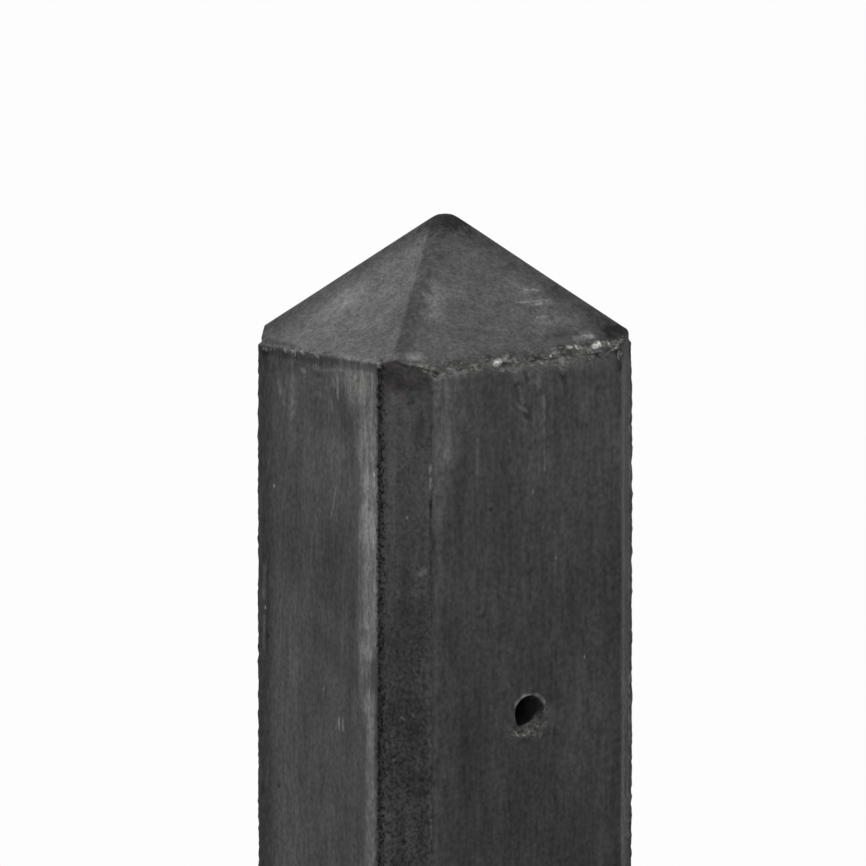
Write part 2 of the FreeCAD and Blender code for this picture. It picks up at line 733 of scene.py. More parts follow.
@dataclass
class FencePost:
    """The casting: its grid, its marks of use and its unrolled surface."""

    section: Section
    head: Head
    hole: Hole
    marks: tuple[Mark, ...]
    length: float
    fine_length: float = 190.0 * MM
    fine_step: float = 0.55 * MM
    usual_step: float = 1.3 * MM
    step_growth: float = 1.06
    lower_step: float = 30.0 * MM
    gable_depth: float = 15.0 * MM
    hole_surround: float = 12.5 * MM
    hole_rings: int = 9
    hole_ring_spread: float = 0.7
    bore_middle: float = 8.0 * MM
    bore_step: float = 6.0 * MM
    bore_step_growth: float = 1.25
    halving_share: float = 0.52
    corner_fill: float = 0.58
    corner_depth: float = 9.0 * MM
    foot_hold: float = 4.0 * MM
    bore_mouth: float = 4.0 * MM
    bore_margin: float = 1.0 * MM
    bore_looseness: float = 0.3
    map_margin: float = 0.004
    small_map_scale: float = 0.4
    cells: dict[Side, int] = field(default_factory=lambda: {
        Side.FRONT: 96, Side.RIGHT: 36, Side.BACK: 40, Side.LEFT: 92})
    lattice: Lattice = field(default_factory=Lattice, init=False)
    shoulder: float = field(init=False)
    plan: np.ndarray = field(init=False)
    eave_plan: np.ndarray = field(init=False)
    around: np.ndarray = field(init=False)
    girth: float = field(init=False)

    def __post_init__(self) -> None:
        """Works out the shoulder's height and the grid's columns."""
        self.shoulder = self.length - (self.head.rise - self.head.blunting)
        self.plan = self.section.outline(self.cells)
        self.eave_plan = self.fill_corner(self.plan)
        steps = np.linalg.norm(np.roll(self.plan, -1, axis=0) - self.plan, axis=1)
        self.around = np.concatenate([[0], np.cumsum(steps)[:-1]])
        self.girth = steps.sum()

    def build(self, name: str) -> bpy.types.Object:
        """Makes the plain cast form as one closed mesh with the attributes of its marks, and its map.

        Args:
            name: what the piece is called.

        Returns:
            The new object, at the origin.
        """
        self.lay_shaft()
        mesh = bpy.data.meshes.new(name)
        mesh.from_pydata(self.lattice.points, [], self.lattice.faces)
        mesh.polygons.foreach_set("use_smooth", [True] * len(mesh.polygons))
        mesh.update()
        self.unroll(mesh)
        self.marking(mesh)
        post = bpy.data.objects.new(name, mesh)
        bpy.context.scene.collection.objects.link(post)
        return post

    def fill_corner(self, plan: np.ndarray) -> np.ndarray:
        """Fills the near corner's chamfer out towards a full square, as a lump of the head does there.

        Args:
            plan: the section's outline.

        Returns:
            The same points, moved where they lie on that chamfer.
        """
        short = (self.section.half - np.abs(plan)).min(axis=1)
        near = (plan < 0).all(axis=1)
        return plan - (self.corner_fill * near * short)[:, None]

    def shaft_ring(self, z: float, step: int = 1) -> np.ndarray:
        """Lays one level ring of the shaft, which bends up over the chamfers near the shoulder.

        Args:
            z: the ring's height on the flat faces.
            step: 2 to use every second column.

        Returns:
            The ring's point numbers.
        """
        plan, eave = self.plan[::step], self.eave_plan[::step]
        lift = smoothstep(self.shoulder - self.gable_depth, self.shoulder, np.array(z))
        heights = z + lift * self.head.height(eave)
        plan = plan + (eave - plan) * np.clip((z - self.shoulder) / self.corner_depth + 1, 0, 1) ** 2
        unrolled = np.column_stack([self.around[::step], heights])
        return self.lattice.ring(np.column_stack([plan, heights]), unrolled)

    def lay_shaft(self) -> None:
        """Lays the foot, the shaft with its hole, and the head."""
        lattice = self.lattice
        split = self.shoulder - self.fine_length
        lower = np.linspace(0, split, round(split / self.lower_step) + 1)
        rings = [self.shaft_ring(z, 2) for z in lower]
        foot = lattice.ring(np.zeros((1, 3)), np.zeros((1, 2)))
        lattice.close(rings[0][::-1], foot[0], Chart.FOOT)
        for low, high in zip(rings, rings[1:]):
            lattice.join(low, high, Chart.LOWER)
        drops = graded(self.fine_length, self.fine_step, self.usual_step, self.step_growth)
        levels = (self.shoulder - drops)[::-1][1:]
        fine = [self.shaft_ring(z) for z in levels]
        lattice.join(rings[-1], fine[0], Chart.LOWER)
        rows = np.flatnonzero(np.abs(levels - self.hole.z) < self.hole_surround)
        columns = {side: self.hole_columns(side) for side in (Side.FRONT, Side.BACK)}
        window = frozenset(int(c) for chosen in columns.values() for c in chosen[:-1])
        for i, (low, high) in enumerate(zip(fine, fine[1:])):
            lattice.join(low, high, Chart.TOP, window if rows[0] <= i < rows[-1] else frozenset())
        self.lay_hole([fine[r] for r in rows], columns)
        self.lay_head(fine[-1])

    def hole_columns(self, side: Side) -> np.ndarray:
        """Finds the columns of the grid that pass close by the hole.

        Args:
            side: the front or the back.

        Returns:
            The columns' numbers, going round the post.
        """
        outward = self.plan @ np.array(side.value)
        close = np.abs(self.plan[:, 0] - self.hole.x) < self.hole_surround
        return np.flatnonzero(close & (outward > self.section.half - self.section.lip / 2))

    def lay_hole(self, rows: list[np.ndarray], columns: dict[Side, np.ndarray]) -> None:
        """Rings each mouth of the hole and joins the two by the bore's wall.

        Args:
            rows: the shaft's rings that pass close by the hole.
            columns: the columns that pass close by it, on the front and on the back.
        """
        mouths = [self.lay_mouth(rows, chosen, side) for side, chosen in columns.items()]
        (near, near_turn), (far, far_turn) = mouths
        far, far_turn = far[::-1], far_turn[::-1]
        first = int(np.argmin(np.abs(np.angle(np.exp(1j * (far_turn - near_turn[0]))))))
        far, far_turn = np.roll(far, -first), np.unwrap(np.roll(far_turn, -first))
        far_turn += FULL_TURN * round((near_turn[0] - far_turn[0]) / FULL_TURN)
        self.lattice.zip(near, far, near_turn, far_turn)

    def lay_mouth(self, rows: list[np.ndarray], columns: np.ndarray,
                  side: Side) -> tuple[np.ndarray, np.ndarray]:
        """Rings one mouth of the hole and carries it inward, short of the middle of the post.

        Args:
            rows: the shaft's rings that pass close by the hole.
            columns: the columns that pass close by it on this side.
            side: the front or the back.

        Returns:
            Point numbers of the innermost ring, and the angle of each about the hole's axis.
        """
        lattice = self.lattice
        border = [rows[0][c] for c in columns] + [row[columns[-1]] for row in rows[1:]]
        border += [rows[-1][c] for c in columns[-2::-1]] + [row[columns[0]] for row in rows[-2:0:-1]]
        ring = np.array(border)
        places = np.array([lattice.points[p] for p in ring])
        flat = np.array([lattice.unrolled[p] for p in ring])
        turn = np.arctan2(places[:, 2] - self.hole.z, places[:, 0] - self.hole.x)
        mouth = places.copy()
        mouth[:, 0] = self.hole.x + self.hole.radius * np.cos(turn)
        mouth[:, 2] = self.hole.z + self.hole.radius * np.sin(turn)
        inward = -side.value[1]
        for share in (np.arange(1, self.hole_rings + 1) / self.hole_rings) ** self.hole_ring_spread:
            at = places + (mouth - places) * share
            shift = np.column_stack([inward * (at[:, 0] - places[:, 0]), at[:, 2] - places[:, 2]])
            inner = lattice.ring(at, flat + shift)
            lattice.join(ring, inner, Chart.TOP)
            ring = inner
        wall = self.section.half - self.bore_middle
        for depth in graded(wall, self.fine_step, self.bore_step, self.bore_step_growth)[1:]:
            at = mouth + np.array([0, inward * depth, 0])
            inner = lattice.ring(at, np.zeros((len(at), 2)))
            lattice.join(ring, inner, Chart.BORE)
            ring = inner
        return ring, np.unwrap(turn)

    def lay_head(self, eave: np.ndarray) -> None:
        """Lays the slopes from the shoulder up to the tip, with half the columns higher up.

        Args:
            eave: the ring along the foot of the slopes.
        """
        lattice = self.lattice
        slope = math.hypot(self.head.half, self.head.rise)
        climbs = graded(slope, self.fine_step, self.usual_step, self.step_growth)[1:-1]
        ring = eave
        for climb in climbs:
            share = 1 - climb / slope
            step = 2 if share < self.halving_share else 1
            plan = self.eave_plan[::step] * share
            heights = self.shoulder + self.head.height(plan)
            up = np.full(len(plan), self.shoulder + climb)
            unrolled = np.column_stack([self.around[::step], up])
            following = lattice.ring(np.column_stack([plan, heights]), unrolled)
            lattice.join(ring, following, Chart.TOP)
            ring = following
        top = self.shoulder + self.head.height(np.zeros((1, 2)))[0]
        tip = lattice.ring(np.array([[0, 0, top]]), np.array([[self.girth / 2, self.shoulder + slope]]))
        lattice.close(ring, tip[0], Chart.TOP)

    def unroll(self, mesh: bpy.types.Mesh) -> None:
        """Gives the mesh its map: the weathered top large, the plain shaft below it small.

        Args:
            mesh: the cast form.
        """
        corners = np.empty(len(mesh.loops), np.int32)
        mesh.loops.foreach_get("vertex_index", corners)
        counts = np.empty(len(mesh.polygons), np.int32)
        mesh.polygons.foreach_get("loop_total", counts)
        faces = np.repeat(np.arange(len(counts)), counts)
        chart = np.array(self.lattice.charts)[faces]
        flat = np.array(self.lattice.unrolled)[corners]
        place = np.array(self.lattice.points)[corners]
        bore = chart == Chart.BORE.value
        turn = np.arctan2(place[:, 2] - self.hole.z, place[:, 0] - self.hole.x) % FULL_TURN
        flat[bore] = np.column_stack([turn * self.hole.radius, place[:, 1]])[bore]
        span = np.where(bore, FULL_TURN * self.hole.radius, self.girth)
        starts = np.concatenate([[0], np.cumsum(counts)[:-1]])
        furthest = np.maximum.reduceat(flat[:, 0], starts)[faces]
        flat[:, 0] += np.where(furthest - flat[:, 0] > span / 2, span, 0)
        split = self.shoulder - self.fine_length
        margin, small = self.map_margin, self.small_map_scale
        top_scale = (1 - 2 * margin) / self.girth
        top_rows = (self.fine_length + math.hypot(self.head.half, self.head.rise)) * top_scale
        low_scale = (1 - 2 * margin) / (split + self.usual_step)
        low_rows = self.girth * low_scale
        uv = np.empty_like(flat)
        uv[:, 0] = margin + flat[:, 0] * top_scale
        uv[:, 1] = margin + (flat[:, 1] - split) * top_scale
        lower = chart == Chart.LOWER.value
        uv[lower, 0] = margin + flat[lower, 1] * low_scale
        uv[lower, 1] = 3 * margin + top_rows + flat[lower, 0] * low_scale
        shelf = 5 * margin + top_rows + low_rows
        foot = chart == Chart.FOOT.value
        uv[foot] = np.array([margin, shelf]) + (place[foot, :2] + self.section.half) * small
        beside = 2 * margin + 2 * self.section.half * small
        uv[bore] = np.array([beside, shelf]) + (flat[bore] + [0, self.section.half]) * small
        layer = mesh.uv_layers.new(name=UV_MAP)
        layer.uv.foreach_set("vector", uv.astype(np.float32).ravel())

    def marking(self, mesh: bpy.types.Mesh) -> None:
        """Stores where the surface is worn, stained and painted lighter or darker, for the weathering tree
        and the material to read.

        Args:
            mesh: the cast form.
        """
        points = np.array(self.lattice.points)
        normals = np.empty(len(points) * 3, np.float32)
        mesh.vertices.foreach_get("normal", normals)
        normals = normals.reshape(-1, 3).astype(float)
        local = (points - [0, 0, self.shoulder]) / MM
        fields = {kind.value: np.zeros(len(points)) for kind in MarkKind}
        for mark in self.marks:
            fields[mark.marking.value] += mark.strength_at(local, normals)
        fields[MarkKind.SINK.value] *= MM
        mould = MouldTraces(self.section)
        fields[MarkKind.SHADE.value] += mould.ridge_band(local)
        fields.update(mould.fields(local, normals))
        fields["skin"] = self.looseness(points)
        for name, values in fields.items():
            attribute = mesh.attributes.new(name, "FLOAT", "POINT")
            attribute.data.foreach_set("value", values.astype(np.float32))

    def looseness(self, points: np.ndarray) -> np.ndarray:
        """How freely weathering moves the surface: not at the foot, and little inside the bore.

        Args:
            points: places on the surface, in metres.

        Returns:
            One number per place.
        """
        from_axis = np.hypot(points[:, 0] - self.hole.x, points[:, 2] - self.hole.z)
        inside = np.abs(points[:, 1]) < self.section.half - self.bore_mouth
        in_bore = inside & (from_axis < self.hole.radius + self.bore_margin)
        return smoothstep(0, self.foot_hold, points[:, 2]) * np.where(in_bore, self.bore_looseness, 1.0)


@dataclass(frozen=True)
class Grain:
    """Noise whose grains have a real size.

    The size is in millimetres along X, Y and Z. Detail is the number of finer octaves, shift moves
    the noise away from other noise, and low and high are what dim and bright grains give.
    """

    size: Point
    detail: float
    shift: float
    low: float
    high: float
    span: Span = (0.3, 0.7)

    def socket(self, tree: Tree, place: Socket) -> Socket:
        """Adds the noise to a shader tree.

        Args:
            tree: the tree to add to.
            place: the coordinate socket.

        Returns:
            The noise socket.
        """
        scale = tuple(1 / (length * MM) for length in self.size)
        settings = {"Vector": place, "Location": (self.shift,) * 3, "Scale": scale}
        scaled = add(tree, "ShaderNodeMapping", settings)
        noise = add(tree, "ShaderNodeTexNoise", {"Vector": scaled, "Scale": 1.0, "Detail": self.detail})
        return add(tree, "ShaderNodeMapRange", noise, *self.span, self.low, self.high, clamp=False)


@dataclass(frozen=True)
class DirtAndShadeLine:
    """A dark line along every corner of the post, dark up to its inner and gone at its outer reach. It is
    dirt, and in the mould joint painted shadow too.
    """

    x: float
    y: float
    outer: float
    inner: float
    strength: float
    ragged: Grain


@dataclass(frozen=True)
class CastConcrete:
    """Dark pigmented concrete, cast against steel: a matt skin with drag lines and pale laitance.

    Where it is broken the skin gives way to paler sand and stone. To the eye it is a soft, chalky
    charcoal with faint streaks along the post, almost no gloss, and bright crumbs at the breaks.
    """

    scratches: tuple[Scratch, ...]
    section: Section
    shoulder: float
    skin: str = "#3b3b3b"
    # Pale laitance, also used as painted light inside the hole's bore
    laitance_and_painted_light: str = "#717170"
    warm_skin: str = "#3d393b"
    scratched_skin: str = "#a2a2a0"
    stone_dark: str = "#2c2c2b"
    stone_pale: str = "#6a6966"
    crumb: str = "#dad8d0"
    # Dirt, and painted shade in the mould joints and the pits
    dirt_and_shade: str = "#060606"
    roughness: float = 0.86
    roughness_swing: float = 0.08
    specular: float = 0.25
    skin_relief: float = 0.03 * MM
    stone_relief: float = 0.15 * MM
    flash_cover: float = 0.12
    deepest_shade: float = 0.25
    pit_painted_shade: float = 0.75
    tone_span: Span = (0.6, 1.4)
    break_span: Span = (0.38, 0.62)
    bright_span: Span = (1.08, 1.35)
    drag_lines: Grain = Grain((1.5, 1.5, 10.0), 3.0, 0.0, 0.82, 1.18)
    fine_grain: Grain = Grain((1.5, 1.5, 1.6), 3.0, 20.0, 0.73, 1.27)
    chamfer_sand: Grain = Grain((1.2, 1.2, 1.3), 2.0, 40.0, 0.4, 1.6)
    chamfer_clots: Grain = Grain((4.5, 4.5, 9.0), 3.0, 60.0, 0.7, 1.3)
    head_mottle: Grain = Grain((2.4, 2.4, 1.5), 1.5, 80.0, 0.82, 1.18)
    head_speckle: Grain = Grain((1.0, 1.0, 0.7), 1.5, 90.0, 0.75, 1.25)
    head_cloud: Grain = Grain((7.0, 7.0, 5.0), 2.0, 100.0, 0.87, 1.13)
    long_bands: Grain = Grain((4.0, 4.0, 60.0), 2.5, 120.0, 0.88, 1.12)
    blotches: Grain = Grain((22.0, 22.0, 30.0), 4.0, 160.0, 0.86, 1.14)
    laitance_patches: Grain = Grain((1.1, 1.1, 3.0), 3.0, 200.0, 0.6, 1.4)
    laitance_clots: Grain = Grain((3.0, 3.0, 16.0), 4.0, 220.0, 0.55, 1.45)
    shade_patches: Grain = Grain((2.0, 2.0, 5.0), 3.0, 240.0, 0.65, 1.35)
    break_crumble: Grain = Grain((1.1, 1.1, 1.1), 2.0, 260.0, -0.28, 0.28)
    stone_sand: Grain = Grain((0.8, 0.8, 0.8), 2.0, 280.0, 0.76, 1.24)
    stone_shades: Grain = Grain((2.0, 2.0, 1.6), 2.0, 300.0, 0.0, 1.0)
    bright_stones: Grain = Grain((1.5, 1.5, 1.2), 1.0, 380.0, 0.0, 1.0)
    seam_ragged: Grain = Grain((1.2, 1.2, 1.3), 3.0, 320.0, -0.6 * MM, 0.6 * MM)
    arris_ragged: Grain = Grain((1.0, 1.0, 7.0), 2.0, 360.0, -0.5 * MM, 0.5 * MM)
    joint_gaps: Grain = Grain((1.0, 1.0, 1.2), 1.5, 340.0, -0.9, 1.7)
    scratch_ragged: Grain = Grain((0.7, 0.7, 2.5), 2.5, 400.0, 0.3, 1.4)
    crumb_ragged: Grain = Grain((1.0, 1.0, 0.9), 2.5, 400.0, 0.3, 1.4)

    def material(self) -> bpy.types.Material:
        """Builds the material.

        Returns:
            The finished material.
        """
        material = bpy.data.materials.new("pigmented_concrete_cast_worn")
        material.use_nodes = True
        tree = material.node_tree
        tree.nodes.clear()
        place = add(tree, "ShaderNodeTexCoord", out="Object")
        names = ("bleach", "shade", "tint", "slope", "sand", "flash", "joint", "broken", "hollow")
        marked = {name: add(tree, "ShaderNodeAttribute", attribute_name=name, out="Fac") for name in names}
        tone = self.tone(tree, place, marked)
        stone, stone_height = self.broken_stone(tree, place)
        exposed = add(tree, "ShaderNodeMath", marked["broken"], self.break_crumble.socket(tree, place),
                      operation="ADD")
        exposed = add(tree, "ShaderNodeMapRange", exposed, *self.break_span, 0.0, 1.0)
        scratched = add(tree, "ShaderNodeVectorMath",
                        {0: to_linear(self.scratched_skin)[:3], "Scale": tone}, operation="SCALE")
        # Painted shade in the air-bubble pits
        pit = add(tree, "ShaderNodeMath", marked["hollow"], self.pit_painted_shade, operation="MULTIPLY")
        dark = self.traces(tree, place, Trace.DARK)
        for darkening in (self.joints(tree, place, marked["joint"]), pit):
            dark = add(tree, "ShaderNodeMath", dark, darkening, operation="MAXIMUM")

        colour = self.skin_colour(tree, place, marked, tone)
        coats = ((exposed, stone),
                 (self.traces(tree, place, Trace.PALE), scratched),
                 (self.traces(tree, place, Trace.CRUMB), to_linear(self.crumb)),
                 (dark, to_linear(self.dirt_and_shade)))
        for cover, coat in coats:
            colour = add(tree, "ShaderNodeMix", {FACTOR: cover, UNDER: colour, OVER: coat}, **AS_COLOUR)

        relief = add(tree, "ShaderNodeMath", tone, self.skin_relief, operation="MULTIPLY")
        crumbs = add(tree, "ShaderNodeMath", stone_height, exposed, operation="MULTIPLY")
        relief = add(tree, "ShaderNodeMath", crumbs, relief, operation="ADD")
        bump = add(tree, "ShaderNodeBump", {"Strength": 1.0, "Distance": 1.0, "Height": relief})
        rough = add(tree, "ShaderNodeMapRange", tone, *self.tone_span,
                    self.roughness + self.roughness_swing, self.roughness - self.roughness_swing)
        shader = add(tree, "ShaderNodeBsdfPrincipled", {
            "Base Color": colour, "Roughness": rough, "Normal": bump, "Specular IOR Level": self.specular})
        add(tree, "ShaderNodeOutputMaterial", {"Surface": shader})
        return material

    def layered(self, tree: Tree, place: Socket, *grains: Grain) -> Socket:
        """Several grains multiplied together.

        Args:
            tree: the tree to add to.
            place: the coordinate socket.
            grains: the grains, first to last.

        Returns:
            The socket of their product.
        """
        first, *others = (grain.socket(tree, place) for grain in grains)
        for other in others:
            first = add(tree, "ShaderNodeMath", first, other, operation="MULTIPLY")
        return first

    def tone(self, tree: Tree, place: Socket, marked: dict[str, Socket]) -> Socket:
        """How bright the skin is at each place, about 1: drag lines, sandy chamfers and a mottled head.

        Args:
            tree: the tree to add to.
            place: the coordinate socket.
            marked: attribute sockets by name.

        Returns:
            The tone socket.
        """
        flat = self.layered(tree, place, self.drag_lines, self.fine_grain)
        chamfer = self.layered(tree, place, self.chamfer_sand, self.chamfer_clots)
        head = self.layered(tree, place, self.head_mottle, self.head_speckle, self.head_cloud)
        tone = add(tree, "ShaderNodeMix", marked["sand"], None, flat, chamfer)
        tone = add(tree, "ShaderNodeMix", marked["slope"], None, tone, head)
        for grain in (self.long_bands, self.blotches):
            tone = add(tree, "ShaderNodeMath", tone, grain.socket(tree, place), operation="MULTIPLY")
        return tone

    def skin_colour(self, tree: Tree, place: Socket, marked: dict[str, Socket], tone: Socket) -> Socket:
        """Colour of the unbroken skin, with its pale places and its darker ones, some of them painted light
        and painted shade.

        Args:
            tree: the tree to add to.
            place: the coordinate socket.
            marked: attribute sockets by name.
            tone: the tone socket.

        Returns:
            The colour socket.
        """
        cold, warm, pale = (to_linear(colour) for colour in (self.skin, self.warm_skin, self.laitance_and_painted_light))
        skin = add(tree, "ShaderNodeMix", {FACTOR: marked["tint"], UNDER: cold, OVER: warm}, **AS_COLOUR)
        cover = add(tree, "ShaderNodeMath", marked["flash"], self.flash_cover, marked["bleach"],
                    operation="MULTIPLY_ADD")
        for grain in (self.laitance_patches, self.laitance_clots):
            cover = add(tree, "ShaderNodeMath", cover, grain.socket(tree, place), operation="MULTIPLY")
        cover = add(tree, "ShaderNodeClamp", cover)
        skin = add(tree, "ShaderNodeMix", {FACTOR: cover, UNDER: skin, OVER: pale}, **AS_COLOUR)
        shade = add(tree, "ShaderNodeMath", marked["shade"], self.shade_patches.socket(tree, place),
                    operation="MULTIPLY")
        left = add(tree, "ShaderNodeMapRange", shade, 0.0, 1.0, 1.0, self.deepest_shade, clamp=False)
        tone = add(tree, "ShaderNodeMath", tone, left, operation="MULTIPLY")
        return add(tree, "ShaderNodeVectorMath", {0: skin, "Scale": tone}, operation="SCALE")

    def broken_stone(self, tree: Tree, place: Socket) -> tuple[Socket, Socket]:
        """Sand and small stone where the skin has come away.

        Args:
            tree: the tree to add to.
            place: the coordinate socket.

        Returns:
            The colour socket and a height socket in metres.
        """
        shade = self.stone_shades.socket(tree, place)
        bright = self.bright_stones.socket(tree, place)
        bright = add(tree, "ShaderNodeMapRange", bright, *self.bright_span, 0.0, 1.0)
        dark, pale, crumb = (to_linear(colour) for colour in (self.stone_dark, self.stone_pale, self.crumb))
        colour = add(tree, "ShaderNodeMix", {FACTOR: shade, UNDER: dark, OVER: pale}, **AS_COLOUR)
        colour = add(tree, "ShaderNodeMix", {FACTOR: bright, UNDER: colour, OVER: crumb}, **AS_COLOUR)
        sand = self.stone_sand.socket(tree, place)
        colour = add(tree, "ShaderNodeVectorMath", {0: colour, "Scale": sand}, operation="SCALE")
        return colour, add(tree, "ShaderNodeMath", sand, self.stone_relief, operation="MULTIPLY")

    def dirt_and_shade_lines(self) -> tuple[DirtAndShadeLine, DirtAndShadeLine]:
        """Places the dark lines: dirt, and painted shadow in the mould joint.

        Returns:
            The mould joint beside each lip, and the broken line along each arris.
        """
        half, arris = self.section.half, self.section.half - self.section.chamfer
        joint = DirtAndShadeLine(x=half - 0.6 * MM, y=arris + 0.5 * MM, outer=1.9 * MM, inner=1.2 * MM,
                         strength=0.7, ragged=self.seam_ragged)
        broken = DirtAndShadeLine(x=arris + 0.2 * MM, y=half, outer=0.42 * MM, inner=-0.1 * MM,
                          strength=0.4, ragged=self.arris_ragged)
        return joint, broken

    def joints(self, tree: Tree, place: Socket, joint: Socket) -> Socket:
        """Dirt and painted shadow in the mould joint beside each lip, and dirt in the broken line along
        each arris.

        Args:
            tree: the tree to add to.
            place: the coordinate socket.
            joint: the socket that says how dark the lines at each corner of the post are.

        Returns:
            A socket that is 1 where the lines are darkest.
        """
        folded = add(tree, "ShaderNodeVectorMath", place, operation="ABSOLUTE")
        masks = []
        for line in self.dirt_and_shade_lines():
            away = add(tree, "ShaderNodeVectorMath", folded, (line.x, line.y, 0), operation="SUBTRACT")
            away = add(tree, "ShaderNodeVectorMath", away, (1, 1, 0), operation="MULTIPLY")
            away = add(tree, "ShaderNodeVectorMath", away, operation="LENGTH", out="Value")
            away = add(tree, "ShaderNodeMath", away, line.ragged.socket(tree, place), operation="ADD")
            masks.append(add(tree, "ShaderNodeMapRange", away, line.outer, line.inner, 0.0, line.strength))
        dirt_and_shade = add(tree, "ShaderNodeMath", *masks, operation="MAXIMUM")
        gaps = self.joint_gaps.socket(tree, place)
        dirt_and_shade = add(tree, "ShaderNodeMath", dirt_and_shade, gaps, operation="MULTIPLY", use_clamp=True)
        return add(tree, "ShaderNodeMath", dirt_and_shade, joint, operation="MULTIPLY")

    def traces(self, tree: Tree, place: Socket, trace: Trace) -> Socket:
        """All the scratches and specks of one kind.

        Args:
            tree: the tree to add to.
            place: the coordinate socket.
            trace: which kind.

        Returns:
            A socket that is the strength of the trace at each place.
        """
        ragged = self.crumb_ragged if trace is Trace.CRUMB else self.scratch_ragged
        total = 0.0
        for scratch in self.scratches:
            if scratch.trace is not trace:
                continue
            start, end = (np.array(p) * MM + [0, 0, self.shoulder] for p in (scratch.start, scratch.end))
            run = end - start
            from_start = add(tree, "ShaderNodeVectorMath", place, tuple(start), operation="SUBTRACT")
            share = add(tree, "ShaderNodeVectorMath", from_start, tuple(run / max(run @ run, TINY)),
                        operation="DOT_PRODUCT", out="Value")
            share = add(tree, "ShaderNodeClamp", share)
            nearest = add(tree, "ShaderNodeVectorMath", {0: tuple(run), "Scale": share}, operation="SCALE")
            away = add(tree, "ShaderNodeVectorMath", from_start, nearest, operation="DISTANCE", out="Value")
            line = add(tree, "ShaderNodeMapRange", away, scratch.width * MM, 0.0, 0.0, scratch.strength,
                       interpolation_type="SMOOTHSTEP")
            total = add(tree, "ShaderNodeMath", total, line, operation="MAXIMUM")
        return add(tree, "ShaderNodeMath", total, ragged.socket(tree, place),
                   operation="MULTIPLY", use_clamp=True)


@dataclass(frozen=True)
class PhotoCamera:
    """The photograph's viewpoint: a long lens a little above the shoulder, left of the front."""

    shoulder: float
    azimuth: float = -32.75
    elevation: float = 6.29
    distance: float = 6.0
    aim_right: float = -3.96 * MM
    aim_drop: float = 29.14 * MM
    lens: float = 753.3
    sensor: float = 36.0
    furthest: float = 100.0

    def build(self) -> bpy.types.Object:
        """Makes the camera and gives it to the scene.

        Returns:
            The camera.
        """
        turn = math.radians(self.azimuth)
        back = viewpoint(self.azimuth, self.elevation)
        right = Vector((math.cos(turn), math.sin(turn), 0))
        aim = right * self.aim_right + Vector((0, 0, self.shoulder - self.aim_drop))
        camera = bpy.data.objects.new("photo_camera", bpy.data.cameras.new("photo_camera"))
        camera.data.lens = self.lens
        camera.data.sensor_width = self.sensor
        camera.location = aim + back * self.distance
        camera.rotation_euler = (-back).to_track_quat("-Z", "Y").to_euler()
        camera.data.clip_end = self.furthest
        bpy.context.scene.collection.objects.link(camera)
        bpy.context.scene.camera = camera
        return camera


@dataclass(frozen=True)
class Softbox:
    """A rectangular soft light that looks at the post from a direction given from the camera's."""

    name: str
    azimuth: float
    elevation: float
    distance: float
    width: float
    height: float
    watts: float


@dataclass(frozen=True)
class Studio:
    """Plain pale floor, white surround and softboxes."""

    shoulder: float
    facing: float
    softboxes: tuple[Softbox, ...]
    aim_drop: float = 100.0 * MM
    white: str = "#fdfdfd"
    paper: str = "#e6e6e6"
    fill: str = "#ffffff"
    ambient: float = 0.2
    floor_radius: float = 5.0
    floor_sides: int = 96
    fade_start: float = 0.8
    fade_end: float = 3.5

    def build(self) -> None:
        """Makes the floor, the lights and the surround."""
        bpy.context.scene.view_settings.view_transform = "Standard"
        self.lay_floor()
        self.surround()
        for softbox in self.softboxes:
            self.hang(softbox)

    def lay_floor(self) -> None:
        """Lays a pale round floor that fades into the white surround."""
        ring = [(self.floor_radius * math.cos(a), self.floor_radius * math.sin(a), 0)
                for a in np.linspace(0, FULL_TURN, self.floor_sides, endpoint=False)]
        mesh = bpy.data.meshes.new("floor")
        mesh.from_pydata(ring, [], [tuple(range(len(ring)))])
        floor = bpy.data.objects.new("floor", mesh)
        bpy.context.scene.collection.objects.link(floor)
        material = bpy.data.materials.new("pale_matt_paper_sweep")
        material.use_nodes = True
        tree = material.node_tree
        tree.nodes.clear()
        paper = add(tree, "ShaderNodeBsdfDiffuse", to_linear(self.paper))
        glow = add(tree, "ShaderNodeEmission", to_linear(self.white), 1.0)
        place = add(tree, "ShaderNodeTexCoord", out="Object")
        away = add(tree, "ShaderNodeVectorMath", place, operation="LENGTH", out="Value")
        fade = add(tree, "ShaderNodeMapRange", away, self.fade_start, self.fade_end, 0.0, 1.0,
                   interpolation_type="SMOOTHSTEP")
        surface = add(tree, "ShaderNodeMixShader", fade, paper, glow)
        add(tree, "ShaderNodeOutputMaterial", {"Surface": surface})
        mesh.materials.append(material)

    def surround(self) -> None:
        """Shows white behind the post and lights it with a softer grey from all round."""
        world = bpy.data.worlds.new("white_surround")
        world.use_nodes = True
        tree = world.node_tree
        tree.nodes.clear()
        seen = add(tree, "ShaderNodeBackground", to_linear(self.white), 1.0)
        lit = add(tree, "ShaderNodeBackground", to_linear(self.fill), self.ambient)
        path = add(tree, "ShaderNodeLightPath", out="Is Camera Ray")
        surface = add(tree, "ShaderNodeMixShader", path, lit, seen)
        add(tree, "ShaderNodeOutputWorld", {"Surface": surface})
        bpy.context.scene.world = world

    def hang(self, softbox: Softbox) -> None:
        """Hangs one softbox, facing the upper part of the post.

        Args:
            softbox: its direction, size and power.
        """
        back = viewpoint(self.facing + softbox.azimuth, softbox.elevation)
        lamp = bpy.data.lights.new(softbox.name, "AREA")
        lamp.shape = "RECTANGLE"
        lamp.size, lamp.size_y = softbox.width, softbox.height
        lamp.energy = softbox.watts
        light = bpy.data.objects.new(softbox.name, lamp)
        light.location = Vector((0, 0, self.shoulder - self.aim_drop)) + back * softbox.distance
        light.rotation_euler = (-back).to_track_quat("-Z", "Y").to_euler()
        light.visible_camera = False
        bpy.context.scene.collection.objects.link(light)


# Where marks that run all the way down end, in millimetres from the shoulder
NEAR_FOOT = -1700

